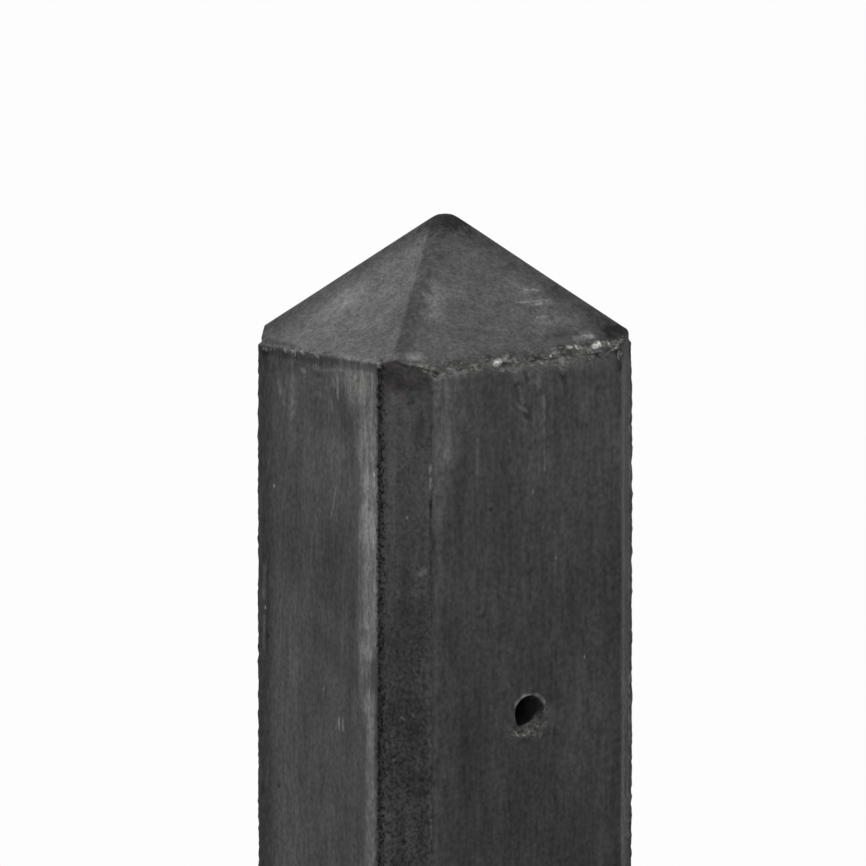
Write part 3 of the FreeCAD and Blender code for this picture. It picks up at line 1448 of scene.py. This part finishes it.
MARKS = (
    # Front edge of the shoulder: sunk, nicked and broken open
    Mark(MarkKind.SINK, (-36, -50, -1.2), (0, -50, 0), 4.5, 0.8, 0.0),
    Mark(MarkKind.SINK, (0, -50, 0), (36, -49.5, 1.4), 7.0, 1.5, 0.0),
    Mark(MarkKind.SINK, (-27, -50, -0.6), (-24, -50, -0.5), 3.2, 0.6, 0.0),
    Mark(MarkKind.SINK, (-16, -50, -0.3), (-14, -50, -0.3), 2.8, 0.5, 0.0),
    Mark(MarkKind.SINK, (5, -50, 0.2), (7, -50, 0.2), 3.0, 0.6, 0.0),
    Mark(MarkKind.SINK, (15, -49.8, 0.6), (18, -49.8, 0.8), 3.2, 0.7, 0.0),
    Mark(MarkKind.SINK, (25, -49.8, 1.0), (26, -49.8, 1.0), 2.6, 0.6, 0.0),
    Mark(MarkKind.SINK, (32, -49.6, 1.4), (33, -49.6, 1.4), 2.6, 0.6, 0.0),
    Mark(MarkKind.SPALL, (-36, -50, -1.2), (-6, -50, -0.4), 4.5, 0.45, 0.5),
    Mark(MarkKind.SPALL, (-6, -50, -0.8), (14, -50, -0.3), 5.4, 0.4, 0.5),
    Mark(MarkKind.SPALL, (14, -49.6, 0.6), (40, -48.5, 1.8), 5.4, 0.38, 0.5),
    Mark(MarkKind.SPALL, (-39.5, -47.3, -1.0), (-35, -50, -2.4), 2.6, 0.6),
    Mark(MarkKind.SPALL, (-12, -49.8, 0.2), (-6, -49.6, 0.3), 3.0, 0.2),
    Mark(MarkKind.SPALL, (-6, -50, -0.2), (9, -49.8, 0.0), 3.0, 0.12),
    Mark(MarkKind.SPALL, (14, -48.4, 1.6), (24, -48.0, 2.0), 3.6, 0.14),
    Mark(MarkKind.SPALL, (24, -47.6, 2.4), (36, -47.2, 2.8), 3.6, 0.16),
    # Ragged eave of the left slope, and the crumbling top of the face below it
    Mark(MarkKind.SPALL, (-50, 36, 0.0), (-50, 4, 0.0), 2.6, 0.3, 0.4),
    Mark(MarkKind.SPALL, (-50, 4, 0.2), (-50, -36, 0.2), 1.6, 0.26, 0.4),
    Mark(MarkKind.SPALL, (-50, 14, -8), (-50, -24, -9), 9.0, 0.19, 0.4, Side.LEFT),
    # Near corner of the shoulder: a lump of the head hangs over the broken top of the chamfer
    Mark(MarkKind.SINK, (-46.5, -40.0, -4.0), (-45, -41.8, -7.0), 4.0, 1.6, 0.1),
    Mark(MarkKind.SPALL, (-44.5, -47.6, 1.2), (-38.5, -49.4, -0.4), 3.6, 0.42),
    Mark(MarkKind.SPALL, (-49.6, -37.6, 0.2), (-48.4, -39.0, -0.8), 1.8, 0.5),
    # Right corner of the shoulder, and the chamfer and lip below it
    Mark(MarkKind.SPALL, (43, -44.2, 5.2), (46.5, -41, 3.0), 3.2, 0.38),
    Mark(MarkKind.SINK, (46, -41, 3.0), (47, -40, 0.0), 6.0, -0.4, 0.2),
    Mark(MarkKind.SINK, (50, -37, 2.0), (50, -37, -2.0), 6.5, 0.45, 0.2),
    Mark(MarkKind.SPALL, (37.6, -49.4, -1.0), (38.2, -48.8, -12.0), 2.4, 0.32, 0.4),
    # Painted light on the top of the right chamfer
    Mark(MarkKind.SHADE, (43, -43.5, 0), (43, -43.5, -14), 8.0, -0.3, 0.2),
    # Painted shade and a painted highlight beside the right arris, which set where the arris seems to be
    Mark(MarkKind.SHADE, (38.0, -48.9, -14), (38.0, -48.9, NEAR_FOOT), 1.7, 0.35, 0.2),
    Mark(MarkKind.SHADE, (40.2, -46.5, -4), (40.2, -46.5, NEAR_FOOT), 2.8, -0.5, 0.2),
    Mark(MarkKind.SHADE, (45, -41.6, -4), (45, -41.6, NEAR_FOOT), 3.4, 0.22, 0.3),
    # Painted light on the step of the right lip, which the lamps leave dark
    Mark(MarkKind.SHADE, (49.4, -37.2, 3), (49.4, -37.2, NEAR_FOOT), 1.7, -1.2, 0.5),
    # Painted shadow in the notch at the top of the right arris
    Mark(MarkKind.SHADE, (36.6, -49.6, 1.2), (37.2, -49.6, -5), 2.6, 1.0, 0.2),
    # Hole: broken rim, pale edge, mortar left in the lower right of its mouth, and painted light on the
    # lower right of the bore
    Mark(MarkKind.SPALL, (-5.0, -50, -123.0), (6.0, -50, -124.0), 3.2, 0.6),
    # Painted light on the lower right of the bore, where light from the upper left falls into the hole
    Mark(MarkKind.BLEACH, (5.0, -43, -120.8), (3.0, -20, -122.0), 7.5, 1.0, 0.5),
    Mark(MarkKind.BLEACH, (0.0, -43, -123.2), (0.0, -20, -123.2), 6.5, 1.0, 0.5),
    Mark(MarkKind.SINK, (6.0, -48.5, -119.8), (4.0, -24, -121.4), 7.5, -2.3, 0.0),
    Mark(MarkKind.SINK, (0.8, -48.5, -123.2), (1.2, -24, -123.4), 6.5, -1.7, 0.0),
    Mark(MarkKind.BLEACH, (-4.0, -50, -114.2), (-1.9, -50, -112.2), 1.3, 0.9, 0.2),
    Mark(MarkKind.BLEACH, (-1.4, -50, -111.9), (3.8, -50, -111.9), 1.3, 1.0, 0.2),
    Mark(MarkKind.BLEACH, (4.4, -50, -112.2), (6.3, -50, -114.0), 1.3, 0.9, 0.2),
    Mark(MarkKind.SPALL, (6.6, -50, -121.5), (7.2, -50, -115.0), 1.8, 0.52),
    Mark(MarkKind.SINK, (-3.5, -50, -122.6), (5.5, -50, -123.2), 3.2, 0.7, 0.2),
    Mark(MarkKind.SINK, (7.2, -50, -121), (7.6, -50, -114), 2.4, 0.5, 0.2),
    # Scrapes below the shoulder
    Mark(MarkKind.GOUGE, (-4.4, -50, -8.6), (-3.5, -50, -13.0), 1.2, 0.8),
    Mark(MarkKind.GOUGE, (-3.3, -50, -13.0), (-1.6, -50, -16.6), 1.1, 0.6),
    Mark(MarkKind.GOUGE, (-1.1, -50, -17.8), (0.8, -50, -20.0), 1.3, 1.0),
    Mark(MarkKind.GOUGE, (-0.6, -50, -4.6), (0.3, -50, -7.0), 1.1, 0.9),
    Mark(MarkKind.GOUGE, (12.4, -50, -5.0), (13.9, -50, -7.6), 1.1, 0.9),
    # Pale laitance beside the left face's near lip
    Mark(MarkKind.BLEACH, (-50, -29.5, -4), (-50, -31, -26), 11.5, 0.33, 0.2, Side.LEFT),
    Mark(MarkKind.BLEACH, (-50, -31.0, -26), (-50, -32, -40), 9.0, 0.3, 0.2, Side.LEFT),
    Mark(MarkKind.BLEACH, (-50, -32.5, -40), (-50, -32, -56), 7.5, 0.38, 0.3, Side.LEFT),
    Mark(MarkKind.BLEACH, (-50, -31, -52), (-50, -31.2, -93), 7.5, 0.4, 0.5, Side.LEFT),
    Mark(MarkKind.BLEACH, (-50, -32.5, -66), (-50, -32.5, -86), 7.0, 0.26, 0.0, Side.LEFT),
    Mark(MarkKind.BLEACH, (-50, -29, -96), (-50, -29, -112), 5.0, 0.3, 0.4, Side.LEFT),
    Mark(MarkKind.BLEACH, (-50, -33, -112), (-50, -33.2, NEAR_FOOT), 5.0, 0.4, 0.4, Side.LEFT),
    # Smaller pale places at the top and the far lip of the left face
    Mark(MarkKind.BLEACH, (-50, -17, -4), (-50, -24, -9), 9.0, 0.3, 0.2, Side.LEFT),
    Mark(MarkKind.BLEACH, (-50, 16.5, -10), (-50, 15.5, -20), 3.6, 0.26, 0.1, Side.LEFT),
    Mark(MarkKind.BLEACH, (-50, 33, -74), (-50, 33.3, -84), 1.6, 0.45, 0.3, Side.LEFT),
    Mark(MarkKind.BLEACH, (-50, 33, -91), (-50, 33.3, -100), 1.5, 0.4, 0.3, Side.LEFT),
    # Pale band along the front's left arris
    Mark(MarkKind.SHADE, (-31.5, -50, -4), (-32, -50, -28), 9.0, -1.05, 0.2, Side.FRONT),
    Mark(MarkKind.SHADE, (-33.0, -50, -28), (-35, -50, -50), 9.0, -0.95, 0.0, Side.FRONT),
    Mark(MarkKind.SHADE, (-32.5, -50, -50), (-32.5, -50, -80), 7.0, -0.4, 0.2, Side.FRONT),
    Mark(MarkKind.BLEACH, (-34.5, -50, -60), (-34.5, -50, NEAR_FOOT), 3.0, 0.04, 0.3, Side.FRONT),
    Mark(MarkKind.SHADE, (-36.0, -50, -84), (-36.0, -50, NEAR_FOOT), 1.8, -0.3, 0.3, Side.FRONT),
    # Pale places left of the hole and below the front edge
    Mark(MarkKind.SHADE, (-18, -50, -84), (-4, -50, -105), 14.0, -0.18, 0.2, Side.FRONT),
    Mark(MarkKind.BLEACH, (5, -50, -6), (4, -50, -38), 5.0, 0.07, 0.2, Side.FRONT),
    # Pale places on the head
    Mark(MarkKind.BLEACH, (-34.5, 11.5, 14.3), (-30, 9.5, 18), 10.0, 0.16, 0.1),
    Mark(MarkKind.BLEACH, (-26.5, -33, 15.6), (-22, -28.5, 19.8), 7.5, 0.26, 0.1),
    Mark(MarkKind.BLEACH, (-20.3, -24.7, 23.3), (-20, -24, 23.9), 2.8, 0.32, 0.3),
    Mark(MarkKind.BLEACH, (-42, -45.8, 3.8), (-39, -46.6, 3.2), 3.6, 0.3, 0.2),
    Mark(MarkKind.BLEACH, (-1, -47.6, 2.2), (9, -47.4, 2.6), 3.2, 0.16, 0.2),
    Mark(MarkKind.BLEACH, (22, -45, 4.6), (28.5, -44.6, 5.2), 1.8, 0.5, 0.3),
    Mark(MarkKind.BLEACH, (13, -28.1, 20.1), (19, -28.8, 19.5), 2.6, 0.13, 0.3),
    Mark(MarkKind.BLEACH, (12, -32.5, 16.1), (20, -32, 16.6), 2.8, 0.13, 0.3),
    Mark(MarkKind.BLEACH, (12, -38.5, 10.6), (28, -38, 11), 4.0, 0.1, 0.3),
    # Painted shade towards the left and right ridges, a darker tip, and darker places just above the front
    # edge
    Mark(MarkKind.SHADE, (-43, 43, 6.4), (0, 0, 44), 17.5, 0.7, 0.1),
    Mark(MarkKind.SHADE, (43, -43, 7.5), (0, 0, 44), 14.0, 0.62, 0.1),
    Mark(MarkKind.SHADE, (0, 0, 43), (0, -2, 42), 10.0, 0.1, 0.1),
    # Painted shadow just above the bright flecks of the broken front edge, then a darker place at its right
    # end
    Mark(MarkKind.SHADE, (12.5, -43.6, 5.9), (23, -43.2, 6.3), 2.6, 0.5, 0.2),
    Mark(MarkKind.SHADE, (36, -43.5, 6.0), (42, -43, 6.5), 4.0, 0.6, 0.2),
    # Darker places on the left face, darker towards its far edge, and one lighter place
    Mark(MarkKind.SHADE, (-50, 36, -9), (-50, 36, NEAR_FOOT), 13.0, 0.64, 0.3, Side.LEFT),
    Mark(MarkKind.SHADE, (-50, 30, -4), (-50, 12, -4), 7.0, 0.28, 0.2, Side.LEFT),
    # Painted shadow under the lip of the eave, along the top of the left face
    Mark(MarkKind.SHADE, (-50, 37, -1.8), (-50, -37, -2.0), 1.9, 0.5, 0.3, Side.LEFT),
    Mark(MarkKind.SHADE, (-50, -8, -62), (-50, -6, -76), 12.0, 0.3, 0.2, Side.LEFT),
    Mark(MarkKind.SHADE, (-50, -12, -14), (-50, -20, -21), 6.5, 0.25, 0.2, Side.LEFT),
    Mark(MarkKind.SHADE, (-50, -7, -29), (-50, -14, -31), 7.0, -0.4, 0.1, Side.LEFT),
    Mark(MarkKind.SHADE, (-50, 0, -93), (-50, -26, -108), 7.0, 0.25, 0.2, Side.LEFT),
    Mark(MarkKind.SHADE, (-50, -36.2, -112), (-50, -36.4, NEAR_FOOT), 1.8, 0.5, 0.3, Side.LEFT),
    # Near chamfer and its arrises: painted shade and painted light under the overhanging corner, beside the
    # lip and on the upper chamfer, a warmer place, and darker stretches
    # Painted light on the chamfer under the overhanging corner, which lies in its shadow
    Mark(MarkKind.SHADE, (-45, -42, -8), (-42, -45, -14), 6.0, -0.5, 0.3),
    # Painted shade on the foot of the slopes at the near corner
    Mark(MarkKind.SHADE, (-49, -41.5, 1.2), (-47.2, -47.0, 2.6), 3.4, 0.55, 0.2),
    Mark(MarkKind.SHADE, (-47.2, -47.0, 2.6), (-44, -48.6, 1.2), 3.4, 0.55, 0.2),
    # Painted light on the top of the chamfer under the corner, around a warmer place
    Mark(MarkKind.SHADE, (-46.5, -43.5, -1), (-43, -46.5, -2), 6.0, -0.7, 0.2),
    Mark(MarkKind.TINT, (-47.0, -44.0, 1.5), (-45, -42, -8), 5.0, 1.0, 0.3),
    Mark(MarkKind.SHADE, (-42, -45, -6), (-39, -47.5, -12), 6.0, -0.35, 0.1),
    # Darker stretches of the chamfer
    Mark(MarkKind.SHADE, (-45, -41.5, -60), (-45, -41.5, -80), 6.0, 0.2, 0.3),
    Mark(MarkKind.SHADE, (-43, -43.5, -85), (-43, -43.5, NEAR_FOOT), 9.0, 0.35, 0.4),
    # Painted light on the upper chamfer and beside the near lip, where the step shades it
    Mark(MarkKind.SHADE, (-44, -42.5, -14), (-44, -42.5, -40), 7.0, -0.26, 0.3),
    Mark(MarkKind.SHADE, (-47.4, -39.2, -12), (-47.4, -39.2, -84), 4.0, -0.35, 0.3),
    Mark(MarkKind.SHADE, (-38.6, -48.0, -30), (-38.6, -48.0, -48), 4.0, -0.3, 0.4),
    # A darker stretch low on the chamfer
    Mark(MarkKind.SHADE, (-38.6, -48.2, -112), (-38.6, -48.2, NEAR_FOOT), 2.6, 0.22, 0.3),
    # Darker places on the front
    Mark(MarkKind.SHADE, (-26, -50, -22), (-29, -50, -56), 4.5, 0.1, 0.2, Side.FRONT),
    Mark(MarkKind.SHADE, (36, -50, -5), (36, -50, NEAR_FOOT), 4.4, 0.25, 0.3, Side.FRONT),
    Mark(MarkKind.SHADE, (14, -50, -84), (26, -50, -105), 10.0, 0.12, 0.2, Side.FRONT),
    Mark(MarkKind.SHADE, (-24, -50, -118), (-24, -50, NEAR_FOOT), 4.5, 0.2, 0.3, Side.FRONT),
    # Broad lighter and darker areas of the front and the front slope, painted light and shade matched to
    # the lit tones
    Mark(MarkKind.SHADE, (-20, -50, -12), (25, -50, -24), 45.0, -0.45, 0.2, Side.FRONT),
    Mark(MarkKind.SHADE, (-15, -50, -150), (25, -50, -200), 45.0, 0.06, 0.3, Side.FRONT),
    Mark(MarkKind.SHADE, (-10, -50, -60), (20, -50, -110), 45.0, -0.1, 0.2, Side.FRONT),
    Mark(MarkKind.SHADE, (-5, -38, 10), (22, -36, 12), 20.0, 0.1, 0.2),
    Mark(MarkKind.SHADE, (-10, -18, 29.5), (10, -16, 31), 17.0, 0.12, 0.2),
    Mark(MarkKind.SHADE, (38, -46, 3.6), (34, -40, 9), 9.0, 0.3, 0.2),
    # Broad lighter and darker areas of the left face and the left slope, painted light and shade matched to
    # the lit tones
    Mark(MarkKind.SHADE, (-50, 12, -26), (-50, -8, -42), 17.0, -0.3, 0.1, Side.LEFT),
    Mark(MarkKind.SHADE, (-50, 18, -85), (-50, 18, NEAR_FOOT), 16.0, -0.2, 0.2, Side.LEFT),
    Mark(MarkKind.SHADE, (-36, 8, 13), (-22, -8, 26), 26.0, -0.16, 0.3),
    Mark(MarkKind.SHADE, (-50, 10, -60), (-50, -22, -75), 22.0, 0.14, 0.2, Side.LEFT),
    # A warmer place on the left face
    Mark(MarkKind.TINT, (-50, -1, -56), (-50, -5, -75), 14.0, 0.5, 0.3, Side.LEFT),
)
SCRATCHES = (
    # Long scratches on the front
    Scratch(Trace.PALE, (6.5, -50, -13.0), (6.8, -50, -37.1), 0.8, 0.17),
    Scratch(Trace.PALE, (-19.6, -50, -25.7), (-19.6, -50, -42.1), 0.8, 0.12),
    # Scratches and flecks on the left face
    Scratch(Trace.PALE, (-50, -11.5, -43.0), (-50, -8.3, -53.5), 0.7, 0.17),
    Scratch(Trace.PALE, (-50, -13.1, -119.5), (-50, -13.1, -123.3), 0.6, 0.4),
    Scratch(Trace.PALE, (-50, -15.4, -119.8), (-50, -15.6, -123.2), 0.6, 0.35),
    Scratch(Trace.PALE, (-50, -12.2, -3.0), (-50, -12.4, -13.0), 0.9, 0.2),
    Scratch(Trace.PALE, (-50, -3.0, -5.0), (-50, -15, -3.9), 0.8, 0.12),
    Scratch(Trace.PALE, (-50, 9.6, -6.0), (-50, 7.6, -6.4), 1.5, 0.14),
    Scratch(Trace.PALE, (-50, 2.4, -4.6), (-50, -2.0, -5.0), 1.3, 0.1),
    Scratch(Trace.PALE, (-50, -9.3, -7.6), (-50, -10.6, -9.6), 1.4, 0.12),
    Scratch(Trace.PALE, (-50, -27.0, -3.2), (-50, -28.6, -6.4), 1.2, 0.14),
    Scratch(Trace.PALE, (-50, -33.0, -4.0), (-50, -33.6, -7.4), 1.2, 0.14),
    Scratch(Trace.PALE, (-50, 24, -11), (-50, 22, -15), 2.0, 0.09),
    Scratch(Trace.PALE, (-50, 0.5, -13.2), (-50, -1.4, -13.6), 1.5, 0.12),
    Scratch(Trace.PALE, (-50, -8.6, -14.4), (-50, -8.8, -17.8), 1.4, 0.1),
    Scratch(Trace.PALE, (-50, 20.4, -14.0), (-50, 20.4, -18.0), 1.6, 0.1),
    Scratch(Trace.PALE, (-50, -3.6, -110.5), (-50, -3.6, -111), 0.6, 0.6),
    Scratch(Trace.DARK, (-50, -4.8, -110.4), (-50, -4.9, -112), 0.6, 0.8),
    Scratch(Trace.PALE, (-50, 26.7, -46.1), (-50, 26.7, -46.4), 0.8, 0.55),
    Scratch(Trace.PALE, (-50, -31.1, -41.7), (-50, -30.6, -41.9), 0.8, 0.7),
    Scratch(Trace.PALE, (-50, -32.9, -39.4), (-50, -32.6, -40), 0.9, 0.3),
    Scratch(Trace.PALE, (-50, 32.3, -87.0), (-50, 32.3, -87.5), 0.7, 0.6),
    Scratch(Trace.CRUMB, (-50, -34.5, -36.4), (-50, -34.9, -36.8), 0.8, 0.35),
    # Flecks and pits on the near chamfer and its arris
    Scratch(Trace.PALE, (-38.8, -47.9, -68), (-39.8, -46.8, -68.8), 1.7, 0.2),
    Scratch(Trace.PALE, (-42.8, -43.6, -50.4), (-42.8, -43.6, -50.7), 0.6, 0.35),
    Scratch(Trace.PALE, (-44, -42.3, -116.7), (-43.6, -42.7, -117), 0.7, 0.4),
    Scratch(Trace.PALE, (-41.5, -45, -115.6), (-41.5, -45, -116), 0.5, 0.3),
    Scratch(Trace.PALE, (-45.9, -40.2, -130.6), (-45.9, -40.2, -131), 0.5, 0.35),
    Scratch(Trace.PALE, (-37.5, -49.5, -33.0), (-37.5, -49.5, -35.5), 0.9, 0.4),
    Scratch(Trace.PALE, (-37.4, -49.5, -37.5), (-37.4, -49.5, -40.4), 0.9, 0.4),
    Scratch(Trace.DARK, (-43.6, -42.7, -157.4), (-43.3, -43, -158), 1.0, 0.9),
    # Flecks on the front
    Scratch(Trace.PALE, (2.2, -50, -43.3), (2.2, -50, -44.6), 0.6, 0.25),
    Scratch(Trace.PALE, (11.3, -50, -66.3), (11.3, -50, -66.9), 0.5, 0.4),
    Scratch(Trace.PALE, (22.5, -50, -99.8), (22.5, -50, -100.4), 0.45, 0.45),
    Scratch(Trace.PALE, (9.5, -50, -122.3), (9.6, -50, -122.6), 0.6, 0.5),
    # Lines on the front slope
    Scratch(Trace.PALE, (7, -32, 16.6), (20.4, -32, 16.6), 0.6, 0.15),
    Scratch(Trace.PALE, (13, -28.1, 20.1), (18.3, -28.6, 19.7), 0.9, 0.18),
    Scratch(Trace.PALE, (14.9, -33, 15.6), (16.5, -32.8, 15.8), 1.1, 0.35),
    Scratch(Trace.PALE, (12, -37.2, 11.8), (17, -37.1, 11.9), 0.6, 0.18),
    Scratch(Trace.DARK, (12, -36.4, 12.5), (17, -36.4, 12.5), 0.4, 0.5),
    # Scrapes below the shoulder
    Scratch(Trace.PALE, (13.2, -50, -2.2), (14.0, -50, -5.6), 1.3, 0.3),
    Scratch(Trace.DARK, (-4.5, -50, -8.8), (-3.5, -50, -13.0), 1.2, 0.55),
    Scratch(Trace.PALE, (-3.2, -50, -9.4), (-1.8, -50, -14.5), 1.2, 0.2),
    Scratch(Trace.DARK, (-3.3, -50, -13.0), (-1.6, -50, -16.6), 1.0, 0.45),
    Scratch(Trace.PALE, (-2.4, -50, -15.8), (-0.4, -50, -17.2), 1.3, 0.32),
    Scratch(Trace.PALE, (-5.2, -50, -2.6), (-4.6, -50, -6.0), 2.0, 0.12),
    Scratch(Trace.DARK, (-1.1, -50, -17.8), (0.8, -50, -20.0), 1.3, 0.75),
    Scratch(Trace.DARK, (-0.7, -50, -4.4), (0.3, -50, -7.0), 1.2, 0.6),
    Scratch(Trace.PALE, (0.6, -50, -3.8), (1.4, -50, -7.0), 1.1, 0.2),
    Scratch(Trace.PALE, (3.8, -50, -7.2), (5.0, -50, -9.2), 1.8, 0.14),
    Scratch(Trace.DARK, (12.2, -50, -4.8), (13.9, -50, -7.6), 1.1, 0.6),
    # Nicks low on the front
    Scratch(Trace.DARK, (-7.4, -50, -144.9), (-6.9, -50, -149.3), 0.6, 0.65),
    Scratch(Trace.DARK, (-6.7, -50, -150), (-6.2, -50, -154), 0.4, 0.4),
    Scratch(Trace.DARK, (-32.2, -50, -139.5), (-32.2, -50, -141), 0.6, 0.5),
    Scratch(Trace.DARK, (-22.3, -50, -143), (-22.7, -50, -144.6), 0.6, 0.5),
    Scratch(Trace.DARK, (10.9, -50, -146.5), (10.9, -50, -147.6), 0.6, 0.5),
    Scratch(Trace.DARK, (17, -50, -137.5), (17, -50, -142), 0.5, 0.4),
    # Gaps along the front's left arris
    Scratch(Trace.DARK, (-37.5, -49.6, -44.5), (-37.5, -49.6, -50), 0.9, 0.75),
    Scratch(Trace.DARK, (-37.6, -49.6, -52), (-37.6, -49.6, -56), 0.7, 0.5),
    Scratch(Trace.DARK, (-37.6, -49.6, -61), (-37.6, -49.6, -69), 0.8, 0.65),
    Scratch(Trace.DARK, (-37.6, -49.6, -75.5), (-37.6, -49.6, -79), 0.8, 0.6),
    Scratch(Trace.DARK, (-37.6, -49.6, -100.5), (-37.6, -49.6, -104), 0.7, 0.5),
    # Gaps under the front edge of the shoulder
    Scratch(Trace.DARK, (-8, -49.9, 0.4), (-7, -49.6, 0.6), 0.9, 0.7),
    Scratch(Trace.DARK, (11, -48.8, -0.6), (13, -48.8, -0.5), 1.4, 0.45),
    Scratch(Trace.DARK, (17, -48.7, -0.5), (19.5, -48.7, -0.4), 1.4, 0.5),
    Scratch(Trace.DARK, (24.5, -48.6, -0.3), (28, -48.6, -0.1), 1.4, 0.45),
    Scratch(Trace.DARK, (31, -48.5, 0.1), (33.5, -48.4, 0.3), 1.4, 0.5),
    Scratch(Trace.DARK, (23.2, -48, 1.9), (24, -47.8, 2.2), 0.9, 0.8),
    # Gaps and flecks along the eave of the left slope
    Scratch(Trace.DARK, (-48.7, 34, 1.2), (-48.9, 21, 1.0), 2.4, 0.62),
    Scratch(Trace.DARK, (-49.0, 18.5, 1.0), (-49.1, 15.5, 0.9), 1.9, 0.6),
    Scratch(Trace.DARK, (-49.2, 13.2, 0.8), (-49.3, 11.5, 0.6), 1.5, 0.55),
    Scratch(Trace.DARK, (-49.3, 6, 0.7), (-49.3, 3.5, 0.6), 1.4, 0.55),
    Scratch(Trace.DARK, (-49.3, -3, 0.7), (-49.3, -6.5, 0.7), 1.4, 0.6),
    Scratch(Trace.DARK, (-49.6, -8, 0.3), (-49.6, -12, 0.3), 1.2, 0.55),
    Scratch(Trace.PALE, (-50, 33, -1.0), (-50, 31.5, -1.2), 1.0, 0.3),
    Scratch(Trace.PALE, (-50, 20.3, -0.3), (-50, 19.4, -0.6), 1.0, 0.3),
    Scratch(Trace.PALE, (-50, 14.4, -0.2), (-50, 13.8, -0.8), 0.9, 0.3),
    Scratch(Trace.PALE, (-50, 9.8, -0.2), (-50, 8.4, -0.4), 1.0, 0.3),
    Scratch(Trace.PALE, (-50, 1.2, -0.4), (-50, -0.6, -0.8), 1.0, 0.3),
    # Bright stones along the broken shoulder
    Scratch(Trace.CRUMB, (-50, -36.4, 0.2), (-49.8, -37.4, -0.9), 0.8, 0.4),
    Scratch(Trace.CRUMB, (-44.5, -48.7, 1.0), (-43.6, -48.9, 0.8), 0.9, 0.3),
    Scratch(Trace.CRUMB, (-41.2, -49.2, 0.4), (-40.6, -49.3, 0.3), 0.8, 0.25),
    Scratch(Trace.CRUMB, (-39.4, -48.2, -1.8), (-38.8, -48.6, -2.2), 0.8, 0.3),
    Scratch(Trace.CRUMB, (-37.0, -50, -1.6), (-36.4, -50, -1.9), 0.8, 0.4),
    Scratch(Trace.CRUMB, (-36.2, -50, -3.6), (-35.6, -50, -4.2), 0.9, 0.4),
    Scratch(Trace.CRUMB, (-33.4, -50, -1.8), (-32.9, -50, -2.0), 0.8, 0.3),
    Scratch(Trace.CRUMB, (-29.3, -49.5, -0.7), (-29.3, -49.5, -1.1), 1.1, 0.9),
    Scratch(Trace.CRUMB, (-11.4, -49.3, -0.5), (-10.0, -49.2, 0.0), 1.9, 1.0),
    Scratch(Trace.CRUMB, (-14.6, -49.8, 0.3), (-14.0, -49.8, 0.5), 0.8, 0.5),
    Scratch(Trace.CRUMB, (8.0, -49.1, 0.9), (8.2, -49.1, 0.6), 0.9, 0.8),
    Scratch(Trace.CRUMB, (12.0, -47.4, 2.5), (12.6, -47.4, 2.5), 0.9, 0.6),
    Scratch(Trace.CRUMB, (18.0, -47.0, 2.8), (19.4, -47.2, 2.6), 1.0, 0.7),
    Scratch(Trace.CRUMB, (21.4, -46.8, 2.9), (21.8, -47.4, 2.2), 0.9, 0.9),
    Scratch(Trace.CRUMB, (28.4, -47.2, 2.6), (30.4, -46.8, 3.1), 1.5, 1.0),
    Scratch(Trace.CRUMB, (34.2, -46.6, 3.2), (34.8, -46.6, 3.2), 0.9, 0.55),
    # Bright stones at the hole
    Scratch(Trace.CRUMB, (-5.2, -50, -122.6), (-3.6, -50, -124.2), 1.0, 0.7),
    Scratch(Trace.CRUMB, (-1.5, -50, -124.6), (-0.6, -50, -124.8), 0.8, 0.5),
)
SOFTBOXES = (
    Softbox("key_softbox", -30, 40, 2.2, 1.2, 1.2, 3.0),
    Softbox("left_softbox", -78, 62, 2.2, 1.4, 1.4, 63.0),
    Softbox("right_softbox", 104, 10, 2.2, 1.2, 2.4, 24.0),
    Softbox("top_softbox", 10, 82, 1.6, 1.6, 1.6, 26.0),
    Softbox("back_softbox", 190, 15, 2.4, 1.4, 2.4, 22.0),
)


def read_hole(record: dict[str, Any]) -> Hole:
    """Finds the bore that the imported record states.

    Args:
        record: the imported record.

    Returns:
        The hole's axis and radius.
    """
    bore = next(mount for mount in record["mounts"] if mount["kind"] == "bore")
    return Hole(bore["pos_m"][0], bore["pos_m"][2], bore["dims"]["r_mm"] * MM)


def main() -> None:
    """Builds the post, its finish, the camera and the studio."""
    logging.basicConfig(level=logging.INFO, format="%(name)s: %(message)s")
    low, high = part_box(NODE)
    half = (high.x - low.x) / 2
    casting = FencePost(Section(half), Head(half), read_hole(frame["record"]), MARKS, high.z)
    post = casting.build("post_casting")
    LOG.info("laid %d faces for %s", len(post.data.polygons), post.name)
    concrete = CastConcrete(SCRATCHES, casting.section, casting.shoulder).material()
    WeatheringTree().apply(post, concrete)
    LOG.info("weathered %s", post.name)
    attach(post, "root")
    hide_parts(NODE)
    camera = PhotoCamera(casting.shoulder)
    camera.build()
    Studio(casting.shoulder, camera.azimuth, SOFTBOXES).build()


if __name__ == "__main__":
    main()
